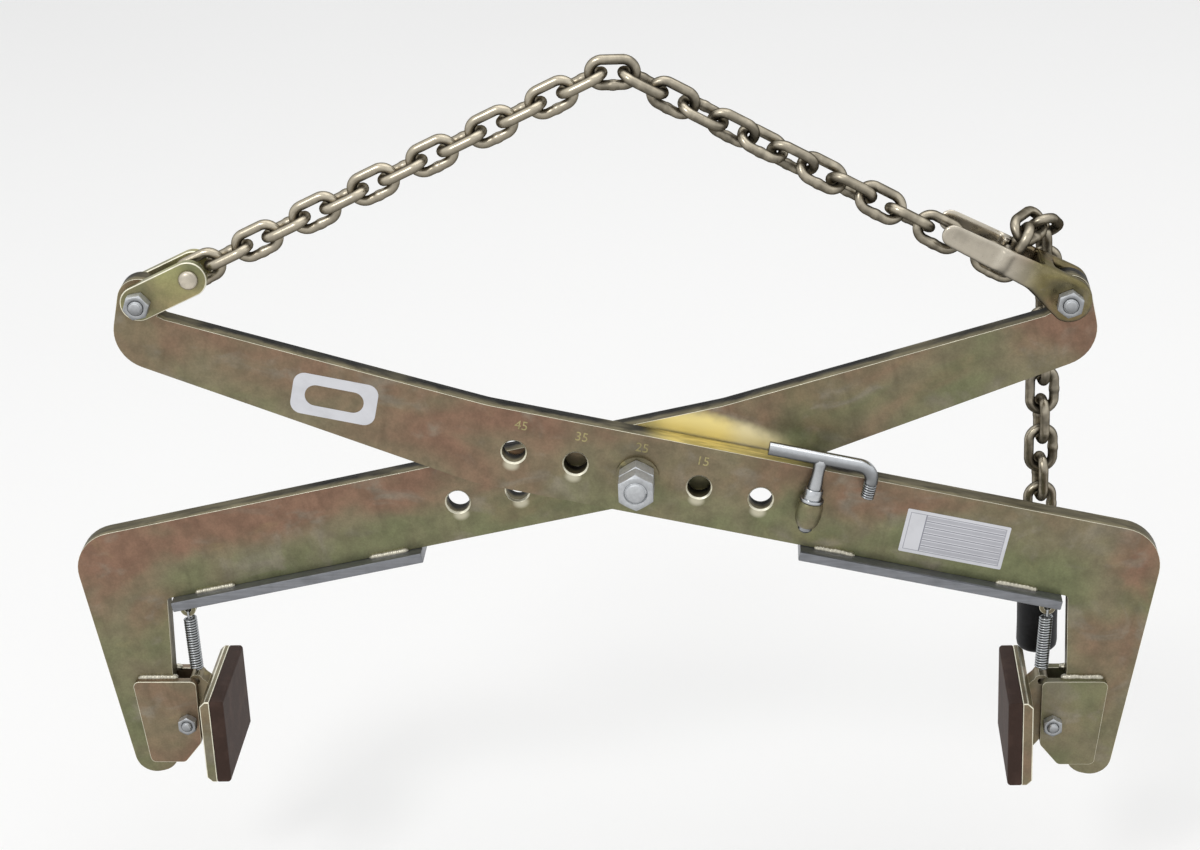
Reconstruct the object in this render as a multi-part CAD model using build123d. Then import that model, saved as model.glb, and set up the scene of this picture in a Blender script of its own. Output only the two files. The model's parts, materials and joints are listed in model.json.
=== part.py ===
import math
import os

from build123d import *

# Stone lifting clamp. Millimetres, +Z up, +X to the right, -Y towards the viewer.
# The origin is the lifting point, on the underside of the lifting link's top wire.

# Arm plates
plate_thickness = 12.0
arms_gap = 1.5
hole_pitch = 35.0
hole_count = 5
hole_diameter = 13.0
hole_chamfer = 1.0
front_pivot_hole = 3
rear_pivot_hole = 2
scissor_angle = 24.34
bar_top = 24.0
bar_bottom = 23.5
kink_u = -19.0
chain_hole_u = -216.0
chain_hole_v = 47.5
chain_lug_radius = 12.5
heel_radius = 22.0
jaw_length = 367.0
jaw_drop = 133.0
leg_width = 46.0
leg_lean = 2.0
leg_inner_lean = 13.7
leg_bottom_radius = 12.0
outer_corner_radius = 24.0
running_clearance = 0.10
leg_outer_u = jaw_length
leg_inner_top_u = jaw_length - leg_width
leg_bottom_v = -jaw_drop

# Flange bars under the jaw halves
flange_end_u = leg_inner_top_u - 3.5
flange_length = 150.0
flange_width = 28.0
flange_thickness = 6.0
flange_start_u = flange_end_u - flange_length

# Fork cheeks and pads, measured from the pad bolt
pad_bolt_u = leg_inner_top_u + 10.5
pad_bolt_v = leg_bottom_v + 30.8
cheek_thickness = 5.0
cheek_set_angle = 12.2
cheek_half_height = 27.0
cheek_inner = 6.5
cheek_outer = 31.0
pad_reach = 27.0
pad_width = 70.0
pad_height = 53.0
rubber_thickness = 8.0
pad_plate_thickness = 6.0
pad_centre_drop = 0.0
ear_thickness = 11.4
ear_round = 7.2
spring_tab_x = -6.2
spring_tab_z = 24.5
spring_tab_radius = 4.2

# Tension springs
spring_wire = 1.4
spring_mean_radius = 3.2
spring_sides = 5
spring_pitch = 2.6
spring_turns = 8
anchor_u = flange_end_u - 5.0
anchor_v = -bar_bottom - flange_thickness - 4.8
anchor_thickness = 5.0
anchor_radius = 4.6

# Chain
link_wire = 6.0
link_inner_length = 18.6
link_inner_width = 8.0
link_slack = 0.6
left_links = 14
right_links = 13
tail_links = 13
wire_sides = 8
bow_steps = 4
tail_y = 40.0
sleeve_outer = 24.0
sleeve_wall = 1.4
sleeve_length = 58.0

# Shackle
strap_width = 20.0
strap_thickness = 5.0
strap_pitch = 32.0
strap_gap = 0.3
pin_diameter = 7.2
pin_head_diameter = 11.0
pin_head_height = 3.0

# Shortening claw, measured along its bar from its bolt
claw_angle = 30.5
claw_length = 80.0
claw_ear_radius = 12.5
claw_tip_radius = 6.5
claw_rise = 1.5
claw_seat_s = 37.5
claw_seat_n = -3.0
claw_wall = 2.8
throat_slot = 7.6
throat_length = 4.0
pocket_start = 24.0
side_room = 1.1
arm_slot_end = 15.0
seat_lean = 0.0

# Latch on the front arm
latch_u = 167.0
latch_sleeve_outer = 14.5
latch_sleeve_bottom = -7.0
latch_sleeve_top = 14.5
latch_rod_v = 34.5
latch_rod_diameter = 7.6
latch_rod_reach = 29.5
latch_tip_v = 16.0
latch_bend = 8.0
latch_stem_diameter = 8.0

# Fasteners: shank, width across flats, head height, nut height
pivot_af = 19.0
pivot_nut_height = 10.8
pivot_head_height = 7.5
chain_bolt_diameter = 8.0
chain_bolt_af = 13.0
chain_nut_height = 6.5
chain_head_height = 5.3
pad_bolt_diameter = 6.0
pad_bolt_af = 10.0
pad_nut_height = 5.5
pad_head_height = 4.0
thread_clearance = 0.05

os.makedirs("parts", exist_ok=True)

nodes = {}
mid_y = (plate_thickness + arms_gap) / 2
plate_back = -arms_gap / 2
plate_front = plate_back - plate_thickness


def rad(angle):
    return math.radians(angle)


def unit(v):
    return v * (1.0 / v.length)


# Resting tilt of the arms: the two pad bolts hang level
front_pivot_u = (front_pivot_hole - 1) * hole_pitch
rear_pivot_u = (rear_pivot_hole - 1) * hole_pitch


def turned(u, v, tilt, side):
    c = math.cos(rad(tilt))
    s = math.sin(rad(tilt))
    return side * (u * c + v * s), -u * s + v * c


half_angle = scissor_angle / 2
right_x, right_z = turned(pad_bolt_u - front_pivot_u, pad_bolt_v, half_angle, 1)
left_x, left_z = turned(pad_bolt_u - rear_pivot_u, pad_bolt_v, half_angle, -1)
level = math.degrees(math.atan2(right_z - left_z, right_x - left_x))
front_tilt = half_angle + level
rear_tilt = half_angle - level

# Chain ends about the pivot axis, and the lifting link between the two runs
bow = (link_inner_width + link_wire) / 2
link_straight = link_inner_length - link_inner_width
link_play = link_inner_width / 2 - link_wire / 2 - link_slack
link_pitch = link_straight + bow + link_play
shackle_x, shackle_z = turned(chain_hole_u - front_pivot_u, chain_hole_v, front_tilt, 1)
claw_x, claw_z = turned(chain_hole_u - rear_pivot_u, chain_hole_v, rear_tilt, -1)
shackle_bolt_at = Vector(shackle_x, -mid_y, shackle_z)
claw_bolt_at = Vector(claw_x, mid_y, claw_z)
claw_along = Vector(-math.cos(rad(claw_angle)), 0, math.sin(rad(claw_angle)))
claw_up = Vector(math.sin(rad(claw_angle)), 0, math.cos(rad(claw_angle)))
seat_at = claw_bolt_at + claw_along * claw_seat_s + claw_up * claw_seat_n

one_x = shackle_bolt_at.X + link_straight / 2
one_z = shackle_bolt_at.Z
two_x = seat_at.X - link_straight / 2
two_z = seat_at.Z
span = math.hypot(two_x - one_x, two_z - one_z)
# wider arms get longer runs, in pairs of links so that every link keeps its turn
while strap_pitch + (left_links + right_links) * link_pitch < 1.05 * span:
    left_links += 2
    right_links += 2
left_run = link_straight + (left_links - 1) * link_pitch + bow
left_flat = math.sqrt(left_run ** 2 - mid_y ** 2)
right_run = link_straight + (right_links - 1) * link_pitch + bow
right_flat = math.sqrt(right_run ** 2 - mid_y ** 2)
one_r = strap_pitch + left_flat
two_r = right_flat
along = (one_r ** 2 - two_r ** 2 + span ** 2) / (2 * span)
rise = math.sqrt(one_r ** 2 - along ** 2)
ex = (two_x - one_x) / span
ez = (two_z - one_z) / span
lift_x = one_x + along * ex - rise * ez
lift_z = one_z + along * ez + rise * ex

# Move everything so the lifting point is the origin
shift = Vector(-lift_x, 0, -(lift_z + link_inner_width / 2))
pivot_at = Vector(0, 0, 0) + shift
shackle_bolt_at = shackle_bolt_at + shift
claw_bolt_at = claw_bolt_at + shift
seat_at = seat_at + shift
lift_centre = Vector(0, 0, -link_inner_width / 2)


def arm_place(tilt, side, pivot_u):
    c = math.cos(rad(tilt))
    s = math.sin(rad(tilt))
    x_dir = Vector(side * c, 0, -s)
    z_dir = Vector(side * s, 0, c)
    return Plane(origin=pivot_at - x_dir * pivot_u, x_dir=x_dir, z_dir=z_dir).location


front_place = arm_place(front_tilt, 1, front_pivot_u)
rear_place = arm_place(rear_tilt, -1, rear_pivot_u)


def upright(profile, y_near, thickness):
    # a flat profile drawn in X and Z, from y_near back by the thickness
    plane = Plane(origin=(0, y_near + thickness, 0), x_dir=(1, 0, 0), z_dir=(0, -1, 0))
    return extrude(plane * profile, amount=thickness)


def cross_cylinder(x, z, radius, y_near, length):
    return upright(Pos(x, z) * Circle(radius), y_near, length)


def hexagon(x, z, across, y_near, length, turn=0):
    shape = Pos(x, z) * Rot(0, 0, turn) * RegularPolygon(across / 2, 6, major_radius=False)
    return upright(shape, y_near, length)


# Arm plate in its own frame: hole 1 at the origin, u to the jaw, v up
def arm_profile():
    lug = Vector(chain_hole_u, chain_hole_v)
    end_u = chain_hole_u - chain_lug_radius
    lean = math.tan(rad(leg_lean))
    inner = math.tan(rad(leg_inner_lean))
    depth = -bar_bottom - leg_bottom_v
    outer_low = leg_outer_u - leg_bottom_v * lean
    inner_low = leg_inner_top_u + depth * inner
    neck = chain_lug_radius * 1.15
    heel_v = chain_hole_v - chain_lug_radius - heel_radius - 1.5
    pts = [
        (end_u, chain_hole_v),
        (end_u, heel_v),
        (kink_u, -bar_bottom + 0.5),
        (leg_inner_top_u, -bar_bottom),
        (inner_low, leg_bottom_v),
        (outer_low, leg_bottom_v),
        (leg_outer_u - bar_top * lean, bar_top),
        (kink_u, bar_top + 1.0),
        (chain_hole_u + neck, chain_hole_v - 8.5),
    ]
    face = make_face(Polyline(*pts, close=True))
    corners = face.vertices()

    def near(point):
        return corners.sort_by_distance((point[0], point[1], 0))[0]

    face = fillet(near(pts[1]), heel_radius)
    corners = face.vertices()
    face = fillet(near(pts[6]), outer_corner_radius)
    corners = face.vertices()
    face = fillet([near(pts[4]), near(pts[5])], leg_bottom_radius)
    corners = face.vertices()
    face = fillet(near(pts[3]), 2.0)
    corners = face.vertices()
    face = fillet([near(pts[2]), near(pts[7])], 60.0)
    face = face + Pos(lug.X, lug.Y) * Circle(chain_lug_radius)
    return face


def arm_plate():
    body = upright(arm_profile(), plate_front, plate_thickness)
    for index in range(hole_count):
        u = index * hole_pitch
        r = hole_diameter / 2
        body -= cross_cylinder(u, 0, r, plate_front - 1, plate_thickness + 2)
        rim = Plane(origin=(u, plate_front, 0), x_dir=(1, 0, 0), z_dir=(0, 1, 0))
        back = Plane(origin=(u, plate_back, 0), x_dir=(1, 0, 0), z_dir=(0, -1, 0))
        cut = Cone(r + hole_chamfer, r, hole_chamfer, align=(Align.CENTER, Align.CENTER, Align.MIN))
        body -= rim.location * cut
        body -= back.location * cut
    r = chain_bolt_diameter / 2 + running_clearance
    body -= cross_cylinder(chain_hole_u, chain_hole_v, r, plate_front - 1, plate_thickness + 2)
    return body


def flange_bar():
    length = flange_end_u - flange_start_u
    bar = Box(length, flange_width, flange_thickness)
    bar = chamfer(bar.edges().filter_by(Axis.X), 0.8)
    middle = (flange_start_u + flange_end_u) / 2
    return Pos(middle, -mid_y, -bar_bottom - flange_thickness / 2 - 0.02) * bar


def jaw_place(angle):
    c = math.cos(rad(angle))
    s = math.sin(rad(angle))
    at = (pad_bolt_u, -mid_y, pad_bolt_v)
    return Plane(origin=at, x_dir=(c, 0, s), z_dir=(-s, 0, c)).location


def cheek(front):
    pts = [
        (-cheek_inner, cheek_half_height),
        (cheek_outer, cheek_half_height),
        (cheek_outer - 6.5, -cheek_half_height),
        (4.0, -cheek_half_height),
        (-cheek_inner, -cheek_half_height + 13.0),
    ]
    face = make_face(Polyline(*pts, close=True))
    face = fillet(face.vertices(), 3.5)
    face -= Circle(pad_bolt_diameter / 2 + running_clearance)
    half = plate_thickness / 2 + 0.02
    near = -half - cheek_thickness if front else half
    return jaw_place(cheek_set_angle) * upright(face, near, cheek_thickness)


def spring_anchor():
    top = -bar_bottom - flange_thickness - 0.04
    shape = make_face(Polyline(
        (anchor_u - anchor_radius, top),
        (anchor_u - anchor_radius, anchor_v),
        (anchor_u + anchor_radius, anchor_v),
        (anchor_u + anchor_radius, top),
        close=True,
    ))
    shape += Pos(anchor_u, anchor_v) * Circle(anchor_radius)
    shape -= Pos(anchor_u, anchor_v) * Circle(2.0)
    return upright(shape, -mid_y - anchor_thickness / 2, anchor_thickness)


# Pad pieces about the pad bolt: x away from the stone, z up, y across
def pad_ear():
    back = -pad_reach + rubber_thickness + pad_plate_thickness + 0.02
    low = -0.40 * pad_height
    high = 0.44 * pad_height
    shape = make_face(Polyline(
        (back, low),
        (back, high),
        (spring_tab_x - 1.0, spring_tab_z + spring_tab_radius),
        (spring_tab_x + spring_tab_radius, spring_tab_z),
        (1.0, ear_round - 0.3),
        (1.0, -ear_round + 0.3),
        (-5.0, -ear_round - 4.0),
        close=True,
    ))
    shape += Circle(ear_round)
    shape += Pos(spring_tab_x, spring_tab_z) * Circle(spring_tab_radius)
    shape -= Circle(pad_bolt_diameter / 2 + running_clearance)
    shape -= Pos(spring_tab_x, spring_tab_z) * Circle(2.0)
    return upright(shape, -ear_thickness / 2, ear_thickness)


def pad_plate():
    plate = Box(pad_plate_thickness, pad_width, pad_height)
    back = plate.faces().sort_by(Axis.X)[-1]
    plate = chamfer(back.edges().filter_by(Axis.Y), 3.0)
    x = -pad_reach + rubber_thickness + pad_plate_thickness / 2
    return Pos(x, 0, pad_centre_drop) * plate


def pad_rubber():
    block = Box(rubber_thickness, pad_width, pad_height)
    block = chamfer(block.faces().sort_by(Axis.X)[0].edges(), 1.0)
    return Pos(-pad_reach + rubber_thickness / 2 - 0.02, 0, pad_centre_drop) * block


# Round bolts along Y in a local frame
def cross_bolt(x, z, diameter, across, y_nut_end, y_seat_back, head_height, turn=0):
    shank = cross_cylinder(x, z, diameter / 2, y_nut_end, y_seat_back - y_nut_end)
    end = shank.faces().sort_by(Axis.Y)[0]
    shank = chamfer(end.edges(), 0.12 * diameter)
    head = hexagon(x, z, across, y_seat_back, head_height, turn)
    return shank + head


def cross_nut(x, z, diameter, across, y_near, height, turn=0):
    bore = diameter / 2 + thread_clearance
    nut = hexagon(x, z, across, y_near, height, turn)
    return nut - cross_cylinder(x, z, bore, y_near - 1, height + 2)


def cross_ring(x, z, inner, outer, y_near, height):
    ring = cross_cylinder(x, z, outer, y_near, height)
    return ring - cross_cylinder(x, z, inner, y_near - 1, height + 2)


for side in ("front", "rear"):
    place = front_place if side == "front" else rear_place
    tilt = front_tilt if side == "front" else rear_tilt
    hand = "right" if side == "front" else "left"
    nodes[side + "_arm_plate"] = place * arm_plate()
    nodes[side + "_arm_flange"] = place * flange_bar()
    near_name = "front" if side == "front" else "rear"
    far_name = "rear" if side == "front" else "front"
    nodes[hand + "_fork_" + near_name + "_cheek"] = place * cheek(True)
    nodes[hand + "_fork_" + far_name + "_cheek"] = place * cheek(False)
    nodes[hand + "_spring_anchor"] = place * spring_anchor()
    jaw = place * jaw_place(tilt)
    nodes[hand + "_pad_ear"] = jaw * pad_ear()
    nodes[hand + "_pad_plate"] = jaw * pad_plate()
    nodes[hand + "_pad_rubber"] = jaw * pad_rubber()
    # the pad bolt's nut faces the viewer on both sides
    out = plate_thickness / 2 + cheek_thickness + 0.05
    nut_end = -out - pad_nut_height - 1.5
    flip = Rot(0, 0, 0) if side == "front" else Rot(0, 0, 180)
    fork = place * jaw_place(cheek_set_angle) * flip
    nodes[hand + "_pad_bolt"] = fork * cross_bolt(
        0, 0, pad_bolt_diameter, pad_bolt_af, nut_end, out, pad_head_height, 30)
    nodes[hand + "_pad_nut"] = fork * cross_nut(
        0, 0, pad_bolt_diameter, pad_bolt_af, -out - pad_nut_height, pad_nut_height, 30)

# Pivot bolt: head behind, nut and lock nut in front, spacer between the arms
px = pivot_at.X
pz = pivot_at.Z
pivot_shank = hole_diameter - 2 * running_clearance
washer_height = 2.0
washer_radius = 12.0
washer_bore = pivot_shank / 2 + thread_clearance
face_front = plate_front - 0.05
face_back = -plate_front + 0.05
nut_one = face_front - washer_height - 0.05 - pivot_nut_height
nut_two = nut_one - pivot_nut_height - 0.05
seat_back = face_back + washer_height + 0.05
pivot_turn = 30
nodes["pivot_bolt"] = cross_bolt(
    px, pz, pivot_shank, pivot_af, nut_two - 1.0, seat_back, pivot_head_height, pivot_turn)
nodes["pivot_nut"] = cross_nut(px, pz, pivot_shank, pivot_af, nut_one, pivot_nut_height, pivot_turn)
nodes["pivot_lock_nut"] = cross_nut(
    px, pz, pivot_shank, pivot_af, nut_two, pivot_nut_height, pivot_turn)
nodes["pivot_front_washer"] = cross_ring(
    px, pz, washer_bore, washer_radius, face_front - washer_height, washer_height)
nodes["pivot_rear_washer"] = cross_ring(
    px, pz, washer_bore, washer_radius, face_back, washer_height)
nodes["pivot_spacer"] = cross_ring(
    px, pz, washer_bore, 15.0, -arms_gap / 2 + 0.05, arms_gap - 0.1)

# Links: each is placed by the centre of its first bow, its direction and its flat normal
def link_shape():
    radius = link_wire / 2 * 0.95
    half = link_straight / 2
    low = []
    section = Rot(0, 0, 180 / wire_sides) * RegularPolygon(radius, wire_sides, major_radius=False)
    for step in range(bow_steps + 1):
        angle = 180.0 * step / bow_steps
        x = half + bow * math.sin(rad(angle))
        y = bow * math.cos(rad(angle))
        run = (math.cos(rad(angle)), -math.sin(rad(angle)), 0)
        plane = Plane(origin=(x, y, 0), x_dir=(0, 0, 1), z_dir=run)
        low.append(plane * section)
    start = Plane(origin=(0, bow, 0), x_dir=(0, 0, 1), z_dir=(1, 0, 0))
    finish = Plane(origin=(0, -bow, 0), x_dir=(0, 0, 1), z_dir=(-1, 0, 0))
    sections = [start * section] + low + [finish * section]
    end = loft([s.face() for s in sections], ruled=True)
    return end + Rot(0, 0, 180) * end


one_link = link_shape()


def normal_to(direction, wish):
    return unit(wish - direction * wish.dot(direction))


def next_bow(end, normal, direction):
    # where the next link's first bow sits when it pulls towards its direction
    flat = unit(direction - normal * direction.dot(normal))
    return end + flat * bow + direction * link_play


def put_link(first, direction, normal):
    middle = first + direction * (link_straight / 2)
    plane = Plane(origin=middle, x_dir=direction, z_dir=normal)
    return one_link.moved(plane.location)


level_y = Vector(0, 1, 0)
tie_at = Vector(shackle_bolt_at.X, -mid_y, shackle_bolt_at.Z)
lift_first = lift_centre - Vector(link_straight / 2, 0, 0)
lift_last = lift_centre + Vector(link_straight / 2, 0, 0)
flat_left = unit(Vector(lift_first.X - tie_at.X, 0, lift_first.Z - tie_at.Z))
pin_at = tie_at + flat_left * strap_pitch
left_dir = unit(lift_first - pin_at)

links = []
first = pin_at
for index in range(left_links):
    face_on = normal_to(left_dir, level_y)
    normal = face_on if index % 2 == 0 else left_dir.cross(face_on)
    links.append(put_link(first, left_dir, normal))
    last = first + left_dir * link_straight
    first = next_bow(last, normal, left_dir)
nodes["chain_left_run"] = Compound(children=links)

nodes["lifting_link"] = put_link(lift_first, Vector(1, 0, 0), level_y)

right_dir = unit(seat_at - lift_last)
links = []
first = seat_at - right_dir * (link_straight + (right_links - 1) * link_pitch)
for index in range(right_links):
    face_on = normal_to(right_dir, level_y)
    base = 90.0 if index % 2 == 0 else 0.0
    twist = base + 90.0 * index / (right_links - 1)
    normal = face_on.rotate(Axis((0, 0, 0), right_dir), twist)
    links.append(put_link(first, right_dir, normal))
    last = first + right_dir * link_straight
    first = next_bow(last, normal, right_dir)
nodes["chain_right_run"] = Compound(children=links)

# Bight: the seat link stands crosswise in the claw's pocket, three more turn over to the tail
bight_dirs = [
    claw_up * math.cos(rad(seat_lean)) - claw_along * math.sin(rad(seat_lean)),
    unit(Vector(0.55, 0.83, 0.05)),
    unit(Vector(0.32, 0.78, -0.52)),
    unit(Vector(0.05, 0.30, -0.95)),
]
links = []
old_dir = right_dir
for index, direction in enumerate(bight_dirs):
    first = next_bow(last, normal, direction)
    normal = normal_to(direction, unit(old_dir + direction).cross(normal))
    links.append(put_link(first, direction, normal))
    last = first + direction * link_straight
    old_dir = direction
nodes["chain_bight"] = Compound(children=links)

down = Vector(0, 0, -1)
links = []
for index in range(tail_links):
    first = next_bow(last, normal, down)
    normal = normal_to(down, unit(old_dir + down).cross(normal))
    if index == 0:
        tail_at = first
    links.append(put_link(first, down, normal))
    last = first + down * link_straight
    old_dir = down
nodes["chain_tail"] = Compound(children=links)
tail_end_z = last.Z - bow - link_wire / 2
sleeve_bottom = tail_end_z - 3.0 - sleeve_wall
tube = Cylinder(sleeve_outer / 2, sleeve_length, align=(Align.CENTER, Align.CENTER, Align.MIN))
tube = chamfer(tube.edges().sort_by(Axis.Z)[0], 1.5)
bore = Cylinder(sleeve_outer / 2 - sleeve_wall, sleeve_length,
                align=(Align.CENTER, Align.CENTER, Align.MIN))
tube -= Pos(0, 0, sleeve_wall) * bore
nodes["chain_tail_sleeve"] = Pos(last.X, last.Y, sleeve_bottom) * tube

# Shackle straps outside the front arm, bolt through the arm, riveted pin for the chain
strap_across = Vector(-flat_left.Z, 0, flat_left.X)
strap_plane = Plane(origin=tie_at, x_dir=flat_left, z_dir=strap_across)
strap_face = SlotCenterToCenter(strap_pitch, strap_width)
strap_hole = chain_bolt_diameter / 2 + running_clearance
pin_hole = pin_diameter / 2 + 0.02
near = plate_thickness / 2 + strap_gap


def strap(front):
    shape = Pos(strap_pitch / 2, 0) * strap_face
    shape -= Circle(strap_hole)
    shape -= Pos(strap_pitch, 0) * Circle(pin_hole)
    y = -near - strap_thickness if front else near
    return strap_plane.location * upright(shape, y, strap_thickness)


nodes["shackle_front_strap"] = strap(True)
nodes["shackle_rear_strap"] = strap(False)
outer = near + strap_thickness + 0.05
pin = cross_cylinder(strap_pitch, 0, pin_diameter / 2, -outer, 2 * outer)
rivet = cross_cylinder(strap_pitch, 0, pin_head_diameter / 2, -outer - pin_head_height, pin_head_height)
rivet = chamfer(rivet.faces().sort_by(Axis.Y)[0].edges(), 1.0)
pin = pin + rivet + Pos(strap_pitch, 0, 0) * Rot(0, 0, 180) * Pos(-strap_pitch, 0, 0) * rivet
nodes["shackle_pin"] = strap_plane.location * pin
tie_place = Pos(tie_at.X, tie_at.Y, tie_at.Z)
nodes["shackle_bolt"] = tie_place * cross_bolt(
    0, 0, chain_bolt_diameter, chain_bolt_af, -outer - chain_nut_height - 2.0, outer,
    chain_head_height, 10)
nodes["shackle_nut"] = tie_place * cross_nut(
    0, 0, chain_bolt_diameter, chain_bolt_af, -outer - chain_nut_height, chain_nut_height, 10)

# Shortening claw: ears on the rear arm's lug, two long fingers, a pocket for the seat link and
# a narrow throat that only a link on edge passes
ear_inner = plate_thickness / 2 + 0.3
room = bow + link_wire / 2 + side_room
claw_half = room + claw_wall
tip_s = claw_length - claw_tip_radius
tip_top = claw_rise + claw_tip_radius
tip_low = claw_rise - claw_tip_radius
outline = make_face([
    Line((0, claw_ear_radius), (tip_s, tip_top)),
    ThreePointArc((tip_s, tip_top), (claw_length, claw_rise), (tip_s, tip_low)),
    Line((tip_s, tip_low), (pocket_start, tip_low)),
    Line((pocket_start, tip_low), (0, -claw_ear_radius)),
    ThreePointArc((0, -claw_ear_radius), (-claw_ear_radius, 0), (0, claw_ear_radius)),
])
claw = upright(outline, -claw_half, 2 * claw_half)
tall = 4 * claw_ear_radius
throat_start = claw_seat_s + link_wire / 2 + 0.4
throat_end = throat_start + throat_length
claw -= Pos(arm_slot_end - 25, 0, 0) * Box(50, 2 * ear_inner, tall)
claw -= Pos((pocket_start + throat_start) / 2, 0, 0) * Box(throat_start - pocket_start, 2 * room, tall)
claw -= Pos(throat_end + 50, 0, 0) * Box(100, 2 * room, tall)
claw -= Pos((throat_start + throat_end) / 2, 0, 0) * Box(throat_length + 2, throat_slot, tall)
claw -= cross_cylinder(0, 0, chain_bolt_diameter / 2 + running_clearance, -claw_half - 1, 60)
claw_place = Plane(origin=claw_bolt_at, x_dir=claw_along, z_dir=claw_up).location
nodes["shortening_claw"] = claw_place * claw
hinge_place = Pos(claw_bolt_at.X, claw_bolt_at.Y, claw_bolt_at.Z)
reach = claw_half + 0.05
nodes["claw_bolt"] = hinge_place * cross_bolt(
    0, 0, chain_bolt_diameter, chain_bolt_af, -reach - chain_nut_height - 2.0, reach,
    chain_head_height, 20)
nodes["claw_nut"] = hinge_place * cross_nut(
    0, 0, chain_bolt_diameter, chain_bolt_af, -reach - chain_nut_height, chain_nut_height, 20)

# Latch: sleeve welded on the front arm, stem through it, bent rod across the top
sleeve_r = latch_sleeve_outer / 2
latch_y = plate_front - sleeve_r + 0.4
bottom = (Align.CENTER, Align.CENTER, Align.MIN)
sleeve = Cylinder(sleeve_r, latch_sleeve_top - latch_sleeve_bottom, align=bottom)
stem_r = latch_stem_diameter / 2
sleeve -= Pos(0, 0, -1) * Cylinder(stem_r + running_clearance, 60, align=bottom)
sleeve = Pos(latch_u, latch_y, latch_sleeve_bottom) * sleeve
sleeve -= Pos(latch_u, plate_front + 9.98, 0) * Box(60, 20, 120)
nodes["latch_sleeve"] = front_place * sleeve
rod_r = latch_rod_diameter / 2
stem_low = latch_sleeve_bottom - 4.0
stem = Cylinder(stem_r, latch_rod_v - stem_low, align=bottom)
stem = chamfer(stem.edges().sort_by(Axis.Z)[0], 1.4)
stem = Pos(latch_u, latch_y, stem_low) * stem
rod_end = latch_u + latch_rod_reach
with BuildLine(Plane(origin=(0, latch_y, 0), x_dir=(1, 0, 0), z_dir=(0, -1, 0))) as rod_line:
    Line((latch_u - latch_rod_reach, latch_rod_v), (rod_end - latch_bend, latch_rod_v))
    RadiusArc((rod_end - latch_bend, latch_rod_v), (rod_end, latch_rod_v - latch_bend), latch_bend)
    Line((rod_end, latch_rod_v - latch_bend), (rod_end, latch_tip_v))
rod_start = Plane(origin=(latch_u - latch_rod_reach, latch_y, latch_rod_v), z_dir=(1, 0, 0))
rod = sweep(rod_start * Circle(rod_r), path=rod_line.wire())
rod_core = Plane(origin=(latch_u - 30, latch_y, latch_rod_v), z_dir=(1, 0, 0)).location
stem -= rod_core * Cylinder(rod_r + 0.02, 60, align=bottom)
nodes["latch_rod"] = front_place * rod
nodes["latch_stem"] = front_place * stem
collar = Cylinder(5.6, 4.2, align=bottom) - Cylinder(stem_r + 0.02, 10, align=bottom)
nodes["latch_collar"] = front_place * Pos(latch_u, latch_y, latch_sleeve_top + 0.1) * collar


# Tension spring along Z from 0 to a length, one wound tube with straight ends
def biarc(p0, t0, p1, t1):
    v = p1 - p0
    s = t0 + t1
    a = 4 - s.dot(s)
    b = 2 * v.dot(s)
    c = -v.dot(v)
    d = (-b + math.sqrt(b * b - 4 * a * c)) / (2 * a)
    q0 = p0 + t0 * d
    q1 = p1 - t1 * d
    joint = (q0 + q1) * 0.5
    arcs = [TangentArc(p0, joint, tangent=t0), TangentArc(joint, p1, tangent=q1 - q0)]
    return arcs


def spring(length):
    body = spring_turns * spring_pitch
    z0 = (length - body) / 2
    climb = spring_pitch / (2 * math.pi)

    def point(angle):
        return Vector(spring_mean_radius * math.cos(angle), spring_mean_radius * math.sin(angle),
                      z0 + climb * angle)

    def tangent(angle):
        return unit(Vector(-spring_mean_radius * math.sin(angle),
                           spring_mean_radius * math.cos(angle), climb))

    up = Vector(0, 0, 1)
    edges = []
    low = Vector(0, 0, spring_wire)
    edges.append(Line(Vector(0, 0, 0), low))
    edges += biarc(low, up, point(0), tangent(0))
    halves = spring_turns * 2
    for index in range(halves):
        one = index * math.pi
        two = (index + 1) * math.pi
        edges += biarc(point(one), tangent(one), point(two), tangent(two))
    last_angle = halves * math.pi
    high = Vector(0, 0, length - spring_wire)
    edges += biarc(point(last_angle), tangent(last_angle), high, up)
    edges.append(Line(high, Vector(0, 0, length)))
    path = Wire(edges)
    tightest = min(e.radius for e in path.edges() if e.geom_type == GeomType.CIRCLE)
    samples = []
    travelled = 0.0
    for edge in edges:
        for k in range(6):
            samples.append((travelled + edge.length * k / 6, edge @ (k / 6)))
        travelled += edge.length
    apart = math.pi * spring_mean_radius
    least = 1e9
    for i in range(len(samples)):
        for j in range(i + 1, min(i + 60, len(samples))):
            if samples[j][0] - samples[i][0] > apart:
                least = min(least, (samples[j][1] - samples[i][1]).length)
    print("spring self gap", round(least - spring_wire, 3), "tightest bend", round(tightest, 3))
    profile = Plane(origin=(0, 0, 0), z_dir=(0, 0, 1)) * RegularPolygon(spring_wire / 2, spring_sides)
    return sweep(profile, path=path)


for hand in ("right", "left"):
    place = front_place if hand == "right" else rear_place
    tilt = front_tilt if hand == "right" else rear_tilt
    lug_at = (place * Pos(anchor_u, -mid_y, anchor_v)).position
    tab_at = (place * jaw_place(tilt) * Pos(spring_tab_x, 0, spring_tab_z)).position
    line = unit(lug_at - tab_at)
    start = tab_at + line * (spring_tab_radius + 0.15)
    length = (lug_at - tab_at).length - spring_tab_radius - anchor_radius - 0.3
    frame = Plane(origin=start, x_dir=(0, 1, 0), z_dir=line)
    nodes[hand + "_pad_spring"] = spring(length).moved(frame.location)
    print(hand, "spring length", round(length, 2))

for name, shape in nodes.items():
    export_step(shape, "parts/" + name + ".step")

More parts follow.
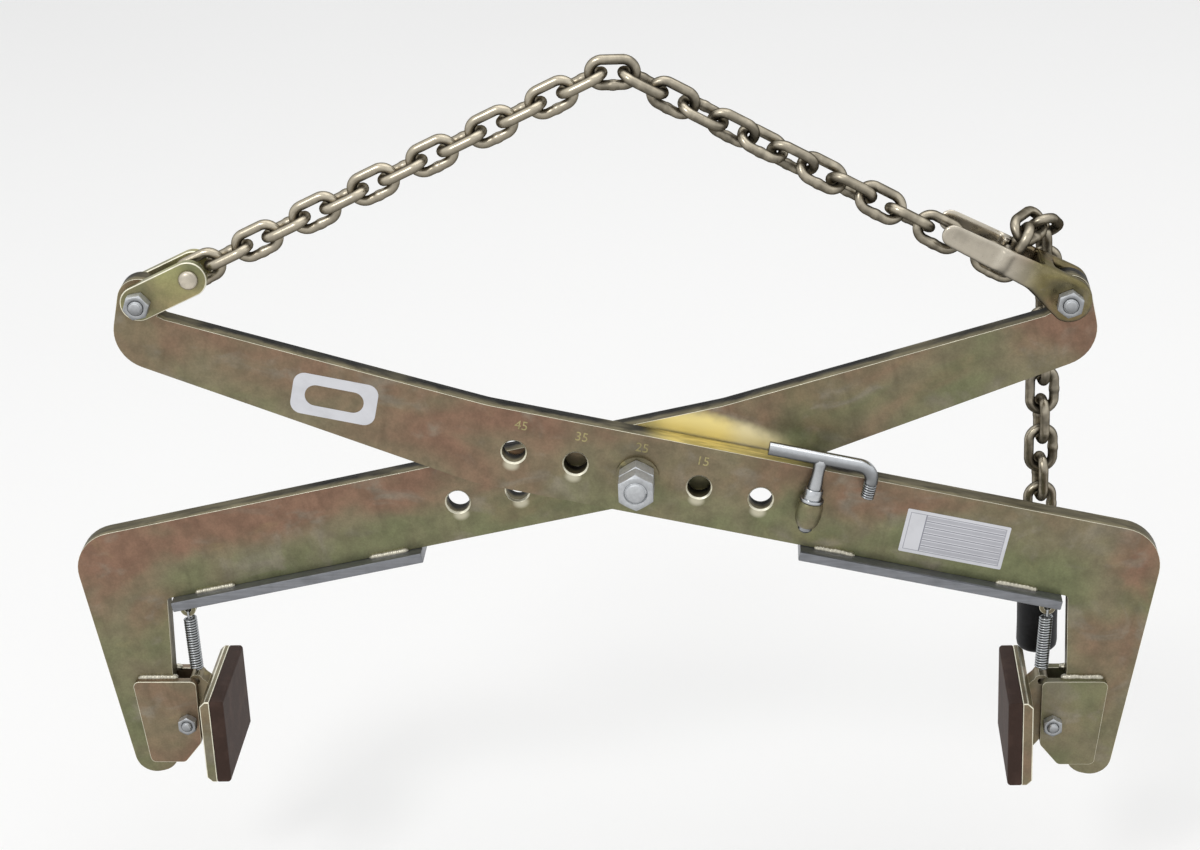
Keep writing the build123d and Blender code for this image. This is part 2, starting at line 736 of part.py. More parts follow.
everything = Compound(children=[Compound(children=[s.solid()]) if len(s.solids()) == 1 else
                                Compound(children=list(s.solids())) for s in nodes.values()])
box = everything.bounding_box()
print("nodes", len(nodes), "size", round(box.size.X, 1), round(box.size.Y, 1), round(box.size.Z, 1))
print("box", [round(v, 2) for v in (box.min.X, box.min.Y, box.min.Z, box.max.X, box.max.Y, box.max.Z)])
for name, at in (("pivot", pivot_at), ("shackle bolt", shackle_bolt_at), ("claw bolt", claw_bolt_at),
                 ("pin", pin_at), ("lift first", lift_first), ("lift last", lift_last),
                 ("seat", seat_at), ("tail", tail_at)):
    print(name, [round(v, 3) for v in (at.X, at.Y, at.Z)])
print("tilts", round(front_tilt, 3), round(rear_tilt, 3))
for hand in ("right", "left"):
    place = front_place if hand == "right" else rear_place
    at = (place * Pos(pad_bolt_u, -mid_y, pad_bolt_v)).position
    print(hand, "pad bolt", [round(v, 3) for v in (at.X, at.Y, at.Z)])
at = (front_place * Pos(latch_u, latch_y, 0)).position
print("latch axis", [round(v, 3) for v in (at.X, at.Y, at.Z)])
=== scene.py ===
"""Finishes, chain, springs, fasteners and stage for a scissor lifting clamp."""

import json
import math

import bmesh
import bpy
from mathutils import Matrix, Vector
from mathutils.kdtree import KDTree


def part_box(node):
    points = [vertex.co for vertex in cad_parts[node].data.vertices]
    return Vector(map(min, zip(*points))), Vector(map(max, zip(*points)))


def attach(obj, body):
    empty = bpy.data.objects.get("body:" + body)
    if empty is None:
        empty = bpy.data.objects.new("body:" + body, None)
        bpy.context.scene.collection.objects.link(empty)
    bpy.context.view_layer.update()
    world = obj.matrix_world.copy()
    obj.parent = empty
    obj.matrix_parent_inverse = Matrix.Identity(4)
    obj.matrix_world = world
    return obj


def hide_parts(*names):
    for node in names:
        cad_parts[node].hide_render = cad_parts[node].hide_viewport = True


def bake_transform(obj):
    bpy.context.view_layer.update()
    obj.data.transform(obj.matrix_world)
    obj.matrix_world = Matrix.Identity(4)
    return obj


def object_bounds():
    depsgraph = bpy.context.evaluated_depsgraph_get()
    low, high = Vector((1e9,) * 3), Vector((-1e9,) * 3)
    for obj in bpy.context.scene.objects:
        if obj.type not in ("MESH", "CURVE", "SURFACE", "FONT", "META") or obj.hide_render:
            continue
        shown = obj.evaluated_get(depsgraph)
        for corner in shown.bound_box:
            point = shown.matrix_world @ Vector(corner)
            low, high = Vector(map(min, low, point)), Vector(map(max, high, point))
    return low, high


bl_info = {
    "name": "Stone lifting clamp",
    "version": (1, 0, 0),
    "blender": (4, 5, 0),
    "location": "View3D > Sidebar > Stone Clamp",
    "description": "Builds the finishes, chain, springs, fasteners and stage of a stone lifting clamp",
    "category": "Object",
}

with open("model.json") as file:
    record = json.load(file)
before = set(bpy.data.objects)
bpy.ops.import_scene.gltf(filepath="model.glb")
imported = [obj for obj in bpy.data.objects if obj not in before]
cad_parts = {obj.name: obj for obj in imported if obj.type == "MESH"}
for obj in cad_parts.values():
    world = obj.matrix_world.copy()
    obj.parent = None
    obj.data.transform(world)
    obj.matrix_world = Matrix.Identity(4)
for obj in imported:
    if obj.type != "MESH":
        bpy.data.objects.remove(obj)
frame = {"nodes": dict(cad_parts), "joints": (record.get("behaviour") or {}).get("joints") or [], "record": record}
CAD_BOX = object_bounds()

MM = 0.001
NODES = frame["nodes"]
HINGES = {joint["name"]: Vector(joint["pos_m"]) for joint in frame["joints"]}
BODY_OF = {
    node: body
    for body, members in frame["record"]["behaviour"]["bodies"].items()
    for node in members
}
PIVOT = HINGES["scissor"]
CLAW_BOLT = HINGES["claw_swing"]

# Arm plates in their own frame: u along the hole row from the first hole, v up, millimetres
FRONT_TILT = math.radians(13.011)
REAR_TILT = math.radians(11.329)
HOLE_PITCH = 35.0
HOLE_LIP = 9.0
FRONT_PIVOT_U = 70.0
REAR_PIVOT_U = 35.0
PLATE_FACE = -12.75
PLATE_BACK = -0.75
PLATE_MIDDLE = -6.75
BAR_BOTTOM = -23.5
FLANGE_THICKNESS = 6.0
PAD_BOLT = (331.5, PLATE_MIDDLE, -102.2)
CHEEK_TURN = math.radians(12.2)
CHEEK_TOP = 27.0
ANCHOR_U = 312.5
ANCHOR_V = -34.3
SPRING_TAB = (6.2, 24.5)
LATCH_U = 167.0
LATCH_Y = -19.6
# Weld beads: begin and end of each run, its sides, how far its middle stands off the parts, ripple
FLANGE_WELDS = ((175.5, 198.5), (279.5, 303.5))
FLANGE_STAND = (0.3, 0.4)
CHEEK_WELD = (4.5, 28.0)
CHEEK_STAND = (0.4, 0.5)
LUG_WELD = (-4.0, 4.0)
LUG_SIDES = (-2.2, 2.2)
LUG_STAND = 0.3
LATCH_WELD = (-4.0, 5.5)
LATCH_SIDES = (-4.6, 4.6)
LATCH_STAND = 0.6
BEAD_RIPPLE = 2800.0
# Labels on the front arm's face: middle u and v, half width and half height, corner radius
LEFT_LABEL = (-102.8, 11.4, 23.8, 12.3, 6.4)
LEFT_WINDOW = (-102.8, 11.4, 16.5, 6.2, 6.1)
RIGHT_LABEL = (250.8, -1.8, 29.3, 13.3, 0.8)
LABEL_SHEET = 0.16
LABEL_LIFT = 0.02
NUMBER_DEPTH = 0.04
NUMBER_LIFT = 0.03
HOLE_NUMBERS = (("45", 1.5, 16.6), ("35", 35.5, 16.6), ("25", 69.5, 17.0), ("15", 104.0, 16.0))
# Bolts: name, width across flats, head height, shank and thread pitch, millimetres
BOLTS = (("pivot", 19.0, 7.5, 12.8, 1.75), ("shackle", 13.0, 5.3, 8.0, 1.25),
         ("claw", 13.0, 5.3, 8.0, 1.25), ("right_pad", 10.0, 4.0, 6.0, 1.0),
         ("left_pad", 10.0, 4.0, 6.0, 1.0))
# Turns that lay the model's coordinates along an arm
FRONT_TURN = (0.0, -FRONT_TILT, 0.0)
REAR_TURN = (0.0, REAR_TILT, 0.0)
# Warm and cool clouds of the plating about the pivot, metres: middle, reach and warmth
FRONT_CLOUDS = (((-0.118, 0.0), (0.080, 0.070), 0.16), ((-0.254, 0.010), (0.060, 0.050), -0.04),
                ((0.190, -0.018), (0.120, 0.022), -0.16), ((0.282, -0.040), (0.026, 0.060), 0.16),
                ((0.180, 0.020), (0.100, 0.016), 0.06))
REAR_CLOUDS = (((-0.200, 0.020), (0.160, 0.026), 0.26), ((-0.140, -0.014), (0.090, 0.024), -0.10),
               ((0.150, 0.010), (0.100, 0.060), -0.06), ((-0.312, -0.006), (0.030, 0.040), 0.20),
               ((0.245, 0.0), (0.050, 0.050), 0.10))
GOLD_PATCH = ((0.034, 0.021), (0.056, 0.0190))
# Painted highlight of each hole's lit lower lip, a pale mark under it, metres:
# middle and reach about the hole, half the row's length
HOLE_HIGHLIGHT = ((0.0, -0.0078), (0.0050, 0.0040))
HOLE_ROW = 0.085
BLOOM_COLOURS = ("Olive", "Green", "Blush", "Haze", "Gold")
# Copies of CAD nodes: largest bend that stays smooth, largest that is merged flat, seam to close
CORNER_ANGLE = math.radians(32.0)
FLAT_ANGLE = math.radians(0.6)
CAD_SEAM = 2e-6
# The forged claw: grain of its new skin, how far its front swells, and over what reach from its rim
CLAW_GRAIN = 0.65 * MM
CLAW_SWELL = 2.2 * MM
CLAW_SWELL_REACH = 5.5 * MM
# Painted shade in patches on every chain run but the left one, and how near the pivot the fasteners
# get only half their painted shade
CHAIN_RUN_SHADE = 0.35
HALF_SHADE_REACH = 40.0 * MM


def arm_frame(arm):
    """The arm's own frame as a matrix that takes millimetres to metres in the model."""
    front = arm == "front"
    tilt = FRONT_TILT if front else REAR_TILT
    side = 1.0 if front else -1.0
    along = Vector((side * math.cos(tilt), 0.0, -math.sin(tilt)))
    up = Vector((side * math.sin(tilt), 0.0, math.cos(tilt)))
    start = PIVOT - along * (FRONT_PIVOT_U if front else REAR_PIVOT_U) * MM
    turn = Matrix((along, up.cross(along), up)).transposed().to_4x4()
    return Matrix.Translation(start) @ turn @ Matrix.Scale(MM, 4)


def cheek_frame(arm):
    """The fork cheek's frame about the pad bolt: x away from the jaw's opening, z up along the cheek."""
    return arm_frame(arm) @ Matrix.Translation(PAD_BOLT) @ Matrix.Rotation(-CHEEK_TURN, 4, "Y")


def colour_field(name, note, red, green, blue):
    return bpy.props.FloatVectorProperty(name=name, description=note, subtype="COLOR", size=4,
                                         default=(red, green, blue, 1.0), min=0.0, max=1.0)


def length_field(name, note, millimetres):
    return bpy.props.FloatProperty(name=name, description=note, default=millimetres * MM,
                                   unit="LENGTH", precision=5)


class ClampFinish(bpy.types.PropertyGroup):
    """Colours of the plating, steel, rubber and plastic."""

    olive: colour_field("Olive", "Main colour of the yellow plating", 0.212, 0.183, 0.112)
    green: colour_field("Green", "Greenish bloom of the plating", 0.172, 0.181, 0.093)
    blush: colour_field("Blush", "Pinkish bloom of the plating", 0.232, 0.137, 0.091)
    haze: colour_field("Haze", "Greyish bloom of the plating", 0.265, 0.235, 0.180)
    gold: colour_field("Gold", "Bright yellow patches of the plating", 0.58, 0.49, 0.21)
    # Painted highlight: pale colour under each hole for its lit lower lip
    pale: colour_field("Pale", "Pale marks where the plating ran out of the holes", 0.62, 0.58, 0.44)
    cut_edge: colour_field("Cut edge", "Dark flame cut rim of the plates", 0.030, 0.029, 0.026)
    # Rubbed corners, partly a painted highlight of their lit edges
    rubbed_edge_highlight: colour_field("Worn edge", "Rubbed corners of the plates", 0.86, 0.82, 0.66)
    strap: colour_field("Strap", "Yellow green plating of the shackle straps", 0.43, 0.42, 0.185)
    forged: colour_field("Forged", "Pale plating of the forged claw", 0.58, 0.525, 0.43)
    bar_grey: colour_field("Bar grey", "Flat bars under the jaws", 0.222, 0.228, 0.244)
    bead: colour_field("Bead", "Weld beads", 0.50, 0.47, 0.38)
    zinc: colour_field("Bright zinc", "Bolts, nuts and latch", 0.6, 0.615, 0.63)
    spring: colour_field("Spring", "Pad springs", 0.5, 0.515, 0.52)
    chain: colour_field("Chain", "Plated chain links", 0.62, 0.55, 0.425)
    rubber: colour_field("Rubber", "Pad rubber", 0.036, 0.018, 0.012)
    sleeve: colour_field("Sleeve", "Soft sleeve on the chain's tail", 0.005, 0.005, 0.006)
    figure: colour_field("Figure", "Stamped hole numbers", 0.40, 0.345, 0.16)
    label: colour_field("Label", "Blank labels on the front arm", 0.69, 0.69, 0.72)


class ClampSizes(bpy.types.PropertyGroup):
    """Sizes of the details that are finer than the CAD nodes."""

    edge_width: length_field("Edge", "Rounding on plate corners", 1.3)
    link_wire: length_field("Link wire", "Wire diameter of a chain link", 5.6)
    link_bow: length_field("Link bow", "Radius of a link's bow at the wire's middle", 7.0)
    link_straight: length_field("Link straight", "Straight length of a link's side", 10.6)
    link_weld: bpy.props.FloatProperty(
        name="Link weld", description="Swelling of the weld on a link's side", default=0.12,
        subtype="FACTOR")
    bead_width: length_field("Weld bead", "Width of a weld bead", 4.2)
    spring_wire: length_field("Spring wire", "Wire diameter of the pad springs", 1.4)
    spring_radius: length_field("Spring radius", "Mean coil radius of the pad springs", 3.35)
    spring_pitch: length_field("Spring pitch", "Rise of one coil", 1.62)
    spring_coils: bpy.props.IntProperty(
        name="Spring coils", description="Coils of each pad spring", default=20, min=3)
    number_height: length_field("Number height", "Size of the stamped hole numbers", 7.6)


class ClampStage(bpy.types.PropertyGroup):
    """Light, floor and camera."""

    floor_colour: colour_field("Floor", "Pale floor", 0.985, 0.972, 0.958)
    drop: length_field("Floor drop", "Room under the clamp for the jaws to swing open", 100.0)
    sky: bpy.props.FloatProperty(
        name="Sky", description="Strength of the soft light from all round", default=0.72)
    key: bpy.props.FloatProperty(
        name="Key", description="Power of the front light", default=14.0, subtype="POWER")
    top: bpy.props.FloatProperty(
        name="Top", description="Power of the overhead light", default=20.0, subtype="POWER")
    lens: bpy.props.FloatProperty(
        name="Lens", description="Focal length on a 36 mm sensor", default=82.98)


class Signal:
    """A value in a node tree; sums, products and comparisons of signals add math nodes."""

    def __init__(self, net, socket):
        self.net = net
        self.socket = socket

    def __add__(self, other):
        return self.net.math("ADD", self, other)

    def __sub__(self, other):
        return self.net.math("SUBTRACT", self, other)

    def __rsub__(self, other):
        return self.net.math("SUBTRACT", other, self)

    def __mul__(self, other):
        return self.net.math("MULTIPLY", self, other)

    def __truediv__(self, other):
        return self.net.math("DIVIDE", self, other)

    def __lt__(self, other):
        return self.net.math("LESS_THAN", self, other)

    def __gt__(self, other):
        return self.net.math("GREATER_THAN", self, other)

    def __abs__(self):
        return self.net.math("ABSOLUTE", self)

    def most(self, other):
        return self.net.math("MAXIMUM", self, other)

    def fade(self, low, high, start=0.0, end=1.0):
        """Goes smoothly from start to end as this goes from low to high."""
        inputs = {"Value": self, "From Min": low, "From Max": high, "To Min": start, "To Max": end}
        return self.net.out("ShaderNodeMapRange", inputs, interpolation_type="SMOOTHSTEP")


class Net:
    """Adds nodes to one tree and links them."""

    def __init__(self, tree):
        self.tree = tree
        self.count = 0

    def put(self, socket, value):
        if isinstance(value, Signal):
            self.tree.links.new(value.socket, socket)
        else:
            socket.default_value = value

    def node(self, kind, inputs=None, **settings):
        made = self.tree.nodes.new(kind)
        made.location = (220 * (self.count % 9), -300 * (self.count // 9))
        self.count += 1
        for key, value in settings.items():
            setattr(made, key, value)
        for key, value in (inputs or {}).items():
            self.put(made.inputs[key], value)
        return made

    def out(self, kind, inputs=None, output=0, **settings):
        """The signal from one output of a new node."""
        return Signal(self, self.node(kind, inputs, **settings).outputs[output])

    def signals(self, node):
        return {socket.name: Signal(self, socket) for socket in node.outputs}

    def group(self, tree, inputs):
        return self.signals(self.node("ShaderNodeGroup", inputs, node_tree=tree))

    def math(self, operation, first, second=0.0, clamp=False):
        return self.out("ShaderNodeMath", {0: first, 1: second}, operation=operation, use_clamp=clamp)

    def mix(self, share, first, second, blend="MIX"):
        return self.out("ShaderNodeMix", {0: share, 6: first, 7: second}, 2, data_type="RGBA",
                        blend_type=blend)

    def shaded(self, colour, shade):
        grey = self.out("ShaderNodeCombineColor", {0: shade, 1: shade, 2: shade})
        return self.mix(1.0, colour, grey, "MULTIPLY")

    def mapped(self, vector, scale=(1.0, 1.0, 1.0), turn=(0.0, 0.0, 0.0), move=(0.0, 0.0, 0.0)):
        inputs = {"Vector": vector, "Location": move, "Rotation": turn, "Scale": scale}
        return self.out("ShaderNodeMapping", inputs)

    def along_arm(self, coords, turn):
        """Coordinates from the pivot along an arm and up it."""
        return self.mapped(self.mapped(coords, move=(-PIVOT.x, 0.0, -PIVOT.z)), turn=turn)

    def split(self, vector):
        return [Signal(self, socket)
                for socket in self.node("ShaderNodeSeparateXYZ", {0: vector}).outputs]

    def noise(self, vector, scale, detail=2.0, roughness=0.5, distortion=0.0):
        inputs = {"Vector": vector, "Scale": scale, "Detail": detail, "Roughness": roughness,
                  "Distortion": distortion}
        return self.out("ShaderNodeTexNoise", inputs, "Fac")

    def bump(self, height, strength, distance):
        inputs = {"Strength": strength, "Distance": distance, "Height": height}
        return self.out("ShaderNodeBump", inputs)

    def circle(self, count, radius):
        inputs = {"Resolution": count, "Radius": radius}
        return self.out("GeometryNodeCurvePrimitiveCircle", inputs, mode="RADIUS")

    def sweep(self, curve, section, scale=1.0, caps=False):
        inputs = {"Curve": curve, "Profile Curve": section, "Scale": scale, "Fill Caps": caps}
        return self.out("GeometryNodeCurveToMesh", inputs)

    def named(self, name, kind="FLOAT"):
        return self.out("GeometryNodeInputNamedAttribute", {"Name": name}, "Attribute", data_type=kind)

    def stored(self, geometry, value):
        inputs = {"Geometry": geometry, "Name": "grime", "Value": value}
        return self.out("GeometryNodeStoreNamedAttribute", inputs, data_type="FLOAT", domain="POINT")


def new_tree(kind, name, inputs, outputs):
    """A node group with named sockets: the tree, its net, the given signals and its results."""
    tree = bpy.data.node_groups.new(name, kind)
    for side, rows in (("INPUT", inputs), ("OUTPUT", outputs)):
        for label, socket in rows:
            tree.interface.new_socket(label, in_out=side, socket_type="NodeSocket" + socket)
    net = Net(tree)
    given = net.signals(net.node("NodeGroupInput"))
    return tree, net, given, net.node("NodeGroupOutput").inputs


def plating_group():
    """Yellow zinc plating: olive ground with soft green, pink, grey and gold clouds and fine mottle."""
    inputs = [("Vector", "Vector")] + [(label, "Color") for label in BLOOM_COLOURS]
    tree, net, given, result = new_tree(
        "ShaderNodeTree", "Plating bloom", inputs + [("Warmth", "Float"), ("Gold Share", "Float")],
        [("Colour", "Color"), ("Roughness", "Float"), ("Height", "Float")])
    vector = given["Vector"]
    leaf = net.noise(net.mapped(vector, (0.7, 1.0, 1.0)), 24.0, 3.0, 0.5, 0.7)
    rose = net.noise(net.mapped(vector, (0.7, 1.0, 1.0), move=(3.1, 1.7, 0.9)), 19.0, 3.0, 0.5, 0.8)
    ash = net.noise(net.mapped(vector, (1.0, 1.0, 1.4), move=(7.3, 2.1, 4.4)), 30.0, 3.0, 0.6, 0.6)
    spark = net.noise(net.mapped(vector, (1.0, 1.0, 1.7), move=(1.3, 5.7, 8.2)), 27.0, 3.0, 0.6, 0.8)
    cloud = net.noise(vector, 85.0, 4.0, 0.6)
    fine = net.noise(vector, 900.0, 2.0, 0.6)
    streak = net.noise(net.mapped(vector, (150.0, 150.0, 16.0)), 1.0, 3.0, 0.6)
    patchy = (cloud - 0.5) * 0.16
    greenish = leaf - given["Warmth"] + patchy
    pinkish = rose + given["Warmth"] + patchy
    colour = net.mix(greenish.fade(0.40, 0.80), given["Olive"], given["Green"])
    colour = net.mix(pinkish.fade(0.42, 0.84), colour, given["Blush"])
    colour = net.mix(ash.fade(0.52, 0.74, 0.0, 0.75), colour, given["Haze"])
    colour = net.mix(spark.fade(0.60, 0.80) * given["Gold Share"], colour, given["Gold"])
    shade = streak.fade(0.54, 0.80, 1.0, 0.82) * fine.fade(0.25, 0.75, 0.92, 1.08)
    net.put(result["Colour"], net.shaded(colour, shade * cloud.fade(0.30, 0.70, 0.84, 1.16)))
    net.put(result["Roughness"], ash.fade(0.3, 0.7, 0.30, 0.44) + fine * 0.06)
    net.put(result["Height"], fine * 0.5 + streak)
    return tree


def scuff_group():
    """Fine drawn lines, dull clouds and scuffs of bare or bright plated steel."""
    tree, net, given, result = new_tree(
        "ShaderNodeTree", "Steel scuffs", [("Vector", "Vector"), ("Lines", "Vector")],
        [("Tone", "Float"), ("Grime", "Float"), ("Height", "Float")])
    vector = given["Vector"]
    scaled_vector = net.out("ShaderNodeVectorMath", {0: vector, 1: given["Lines"]}, operation="MULTIPLY")
    lines = net.noise(scaled_vector, 1.0, 3.0, 0.65)
    net.put(result["Tone"], lines.fade(0.25, 0.75))
    net.put(result["Grime"], net.noise(vector, 75.0, 4.0, 0.6).fade(0.42, 0.72))
    net.put(result["Height"], lines + net.noise(vector, 1500.0, 2.0, 0.5) * 0.4)
    return tree


def scaled(colour, factor):
    return [channel * factor for channel in colour[:3]] + [1.0]


def oval(along, above, centre, reach):
    """Squared distance from a centre in the plate's plane, 1 at the reach along and across."""
    along = (along - centre[0]) / reach[0]
    above = (above - centre[1]) / reach[1]
    return along * along + above * above


class Palette:
    """The materials of the clamp, each made once from the finish settings."""

    def __init__(self, finish):
        self.finish = finish
        self.plating = plating_group()
        self.scuffs = scuff_group()
        plated = self.plated
        self.front_plate = plated("Front arm plating", FRONT_TURN, 0.10, 0.18, 0.0, FRONT_CLOUDS)
        self.rear_plate = plated("Rear arm plating", REAR_TURN, 0.10, 0.18, -HOLE_PITCH * MM, REAR_CLOUDS,
                                 GOLD_PATCH)
        self.right_cheek = plated("Right cheek plating", FRONT_TURN, 0.10, lean=-0.10)
        self.left_cheek = plated("Left cheek plating", REAR_TURN, 0.10, lean=0.12)
        self.small_plate = plated("Small parts plating", FRONT_TURN, 0.50)
        self.strap = plated("Strap plating", FRONT_TURN, 0.60, lean=-0.06, Olive=finish.strap)
        self.front_rim = self.rim("Front arm rim", FRONT_TURN, PLATE_FACE, (0.10, 0.16), (0.048, 0.052))
        self.rear_rim = self.rim("Rear arm rim", REAR_TURN, -PLATE_BACK, (-0.17, -0.23))
        self.forged = self.claw("Forged claw", finish.forged)
        steel = self.steel
        # Rubbed corners and painted edge highlight
        self.rubbed_edge_highlight = steel("Rubbed corner", finish.rubbed_edge_highlight, 0.9, 0.32, (90.0, 700.0, 90.0), 0.35)
        self.rivet = steel("Rivet head", finish.forged, 0.95, 0.35, [300.0] * 3, 0.4, 0.4)
        self.bar = steel("Flat bar", finish.bar_grey, 0.8, 0.38, (30.0, 900.0, 900.0), 0.35)
        self.bead = steel("Weld bead", finish.bead, 0.95, 0.30, [500.0] * 3, 0.3)
        # The last True darkens these by their stored painted shade
        self.zinc = steel("Bright zinc", finish.zinc, 1.0, 0.19, [400.0] * 3, 0.15, 0.25, True)
        self.dull_zinc = steel("Dull zinc", finish.zinc, 0.75, 0.38, [500.0] * 3, 0.25, 1.0, True)
        self.spring = steel("Spring steel", finish.spring, 1.0, 0.20, [900.0] * 3, 0.1, 0.15, True)
        self.stamp = steel("Stamped figure", finish.figure, 0.5, 0.5, [900.0] * 3, 0.5)
        self.chain = steel("Chain plating", finish.chain, 1.0, 0.22, [250.0] * 3, 0.3, 0.10, True)
        self.rubber = self.moulded("Pad rubber", finish.rubber, 0.68, 320.0, 0.35, 0.25)
        self.sleeve = self.moulded("Soft sleeve", finish.sleeve, 0.52, 900.0, 0.15, 0.22)
        self.label = self.moulded("Blank label", finish.label, 0.45, 260.0, 0.05)
        self.ruled = self.moulded("Ruled label", finish.label, 0.45, 260.0, 0.05, ruled=True)

    def start(self, name):
        material = bpy.data.materials.new(name)
        material.use_nodes = True
        net = Net(material.node_tree)
        return material, net, net.out("ShaderNodeTexCoord", output="Object")

    def end(self, material, net, colour, roughness, normal, metallic=0.0, specular=0.5, rim=1.0):
        """Fills in the shader; a rim below 1 darkens the metal at grazing angles."""
        shader = material.node_tree.nodes["Principled BSDF"].inputs
        net.put(shader["Base Color"], colour)
        net.put(shader["Roughness"], roughness)
        net.put(shader["Normal"], normal)
        net.put(shader["Metallic"], metallic)
        net.put(shader["Specular IOR Level"], specular)
        net.put(shader["Specular Tint"], (rim, rim, rim, 1.0))
        return material

    def bloom(self, net, vector, warmth, gold, tints):
        """The plating group with the finish's colours, or other tints in their place."""
        inputs = {"Vector": vector, "Warmth": warmth, "Gold Share": gold}
        for label in BLOOM_COLOURS:
            inputs[label] = tints.get(label) or getattr(self.finish, label.lower())
        return net.group(self.plating, inputs)

    def plated(self, name, turn, gold, band=0.0, holes=None, clouds=(), patch=None, lean=0.0, **tints):
        """Plating turned to an arm; band warms its upper half, clouds warm or cool parts of it,
        holes is the middle of its hole row, under whose holes a pale mark is a painted highlight of
        the lit lower lip, and patch a bright gold cloud beside the front arm."""
        material, net, coords = self.start(name)
        finish = self.finish
        vector = net.along_arm(coords, turn)
        along, depth, above = net.split(vector)
        warmth = lean
        if band:
            warmth = above.fade(-0.026, 0.026, lean - band / 2, lean + band / 2)
        for centre, reach, heat in clouds:
            warmth = warmth + oval(along, above, centre, reach).fade(0.0, 1.4, heat, 0.0)
        look = self.bloom(net, vector, warmth, gold, tints)
        colour = look["Colour"]
        if patch:
            beside, _, over = net.split(net.along_arm(coords, FRONT_TURN))
            far = oval(beside, over, *patch) + net.noise(vector, 60.0, 3.0, 0.6) * 0.7
            cream = [(channel + 0.25) * 1.1 for channel in finish.gold[:3]] + [1.0]
            tint = net.mix(beside.fade(0.040, 0.056), scaled(finish.gold, 1.65), cream)
            shown = far.fade(0.75, 1.55, 0.95, 0.0) * depth.fade(0.002, 0.006, 1.0, 0.0)
            colour = net.mix(shown * over.fade(0.012, 0.020), colour, tint)
        # Painted highlight: a pale mark under each hole for its lit lower lip
        if holes is not None:
            near = net.math("PINGPONG", along, HOLE_PITCH * MM / 2)
            far = oval(near, above, *HOLE_HIGHLIGHT)
            row = abs(along - holes).fade(HOLE_ROW, HOLE_ROW + 0.003, 1.0, 0.0)
            colour = net.mix(far.fade(0.0, 1.2, 0.85, 0.0) * row, colour, finish.pale)
        return self.end(material, net, colour, look["Roughness"], net.bump(look["Height"], 0.12, 0.0002),
                        0.72)

    def steel(self, name, colour, metallic, roughness, lines, wear, rim=1.0, soiled=False):
        """Bare or plated steel with drawn lines; when asked, it is darkened by the piece's stored painted shade.
        """
        material, net, coords = self.start(name)
        look = net.group(self.scuffs, {"Vector": coords, "Lines": lines})
        grime = look["Grime"] * wear
        tint = net.mix(grime, colour, scaled(colour, 0.5))
        tint = net.shaded(tint, look["Tone"].fade(0.0, 1.0, 1.0 - 0.3 * wear, 1.0 + 0.3 * wear))
        if soiled:
            # Painted shade: the piece's stored layer darkens the colour and roughens it
            shade_layer = net.out("ShaderNodeAttribute", output="Fac", attribute_name="grime")
            tint = net.mix(shade_layer * 0.88, tint, scaled(colour, 0.11))
            grime = grime + shade_layer
        return self.end(material, net, tint, grime * 0.2 + roughness,
                        net.bump(look["Height"], 0.20 * wear, 0.0001), metallic, rim=rim)

    def claw(self, name, colour):
        """Pale plated forging that turns to the plates' bloom towards its bolt, darkened by its stored painted
        shade.
        """
        material, net, coords = self.start(name)
        look = net.group(self.scuffs, {"Vector": coords, "Lines": (60.0, 220.0, 220.0)})
        tints = {"Olive": scaled(self.finish.gold, 0.35), "Green": self.finish.olive}
        bloom = self.bloom(net, net.mapped(coords, (1.6, 1.6, 1.6)), 0.0, 0.5, tints)
        steel = net.mix(look["Grime"] * 0.5, colour, scaled(colour, 0.6))
        near_bolt = net.split(coords)[0].fade(CLAW_BOLT.x - 0.036, CLAW_BOLT.x - 0.014)
        tint = net.mix(near_bolt, steel, bloom["Colour"])
        # Painted shade, stored on the claw's faces that look down
        shade_layer = net.out("ShaderNodeAttribute", output="Fac", attribute_name="grime")
        return self.end(material, net, net.mix(shade_layer, tint, scaled(colour, 0.12)),
                        look["Grime"] * 0.16 + 0.22, net.bump(look["Height"], 0.08, 0.0001), 0.92, rim=0.4)

    def rim(self, name, turn, face, end, gold=None):
        """Flame cut rim of an arm plate: dark behind, rubbed khaki towards the viewer, in places all
        across and from end on; gold is the middle and half length of a bright stretch on top."""
        material, net, coords = self.start(name)
        vector = net.along_arm(coords, turn)
        look = net.group(self.scuffs, {"Vector": vector, "Lines": (45.0, 260.0, 45.0)})
        along, across, above = net.split(vector)
        depth = (across - face * MM) / ((PLATE_BACK - PLATE_FACE) * MM)
        share = (depth + (look["Grime"] - 0.5) * 0.24).fade(0.02, 0.62, 0.9, 0.0)
        stretch = net.noise(net.mapped(vector, (1.0, 0.1, 0.1), move=(0.37, 0.0, 0.0)), 16.0, 2.0, 0.5)
        share = share.most(stretch.fade(0.50, 0.68, 0.0, 0.55))
        beyond = (along - end[0]) / (end[1] - end[0])
        share = share.most(beyond.fade(0.0, 1.0, 0.0, 0.5))
        tint = net.mix(share, self.finish.cut_edge, scaled(self.finish.olive, 1.2))
        if gold:
            bright = abs(along - gold[0]).fade(gold[1] * 0.6, gold[1], 0.9, 0.0)
            bright = bright * above.fade(0.012, 0.018)
            tint = net.mix(bright, tint, scaled(self.finish.gold, 1.25))
        tint = net.shaded(tint, look["Tone"].fade(0.0, 1.0, 0.70, 1.30))
        return self.end(material, net, tint, look["Grime"] * 0.15 + 0.36,
                        net.bump(look["Height"], 0.25, 0.0002), 0.65, 0.3, 0.35)

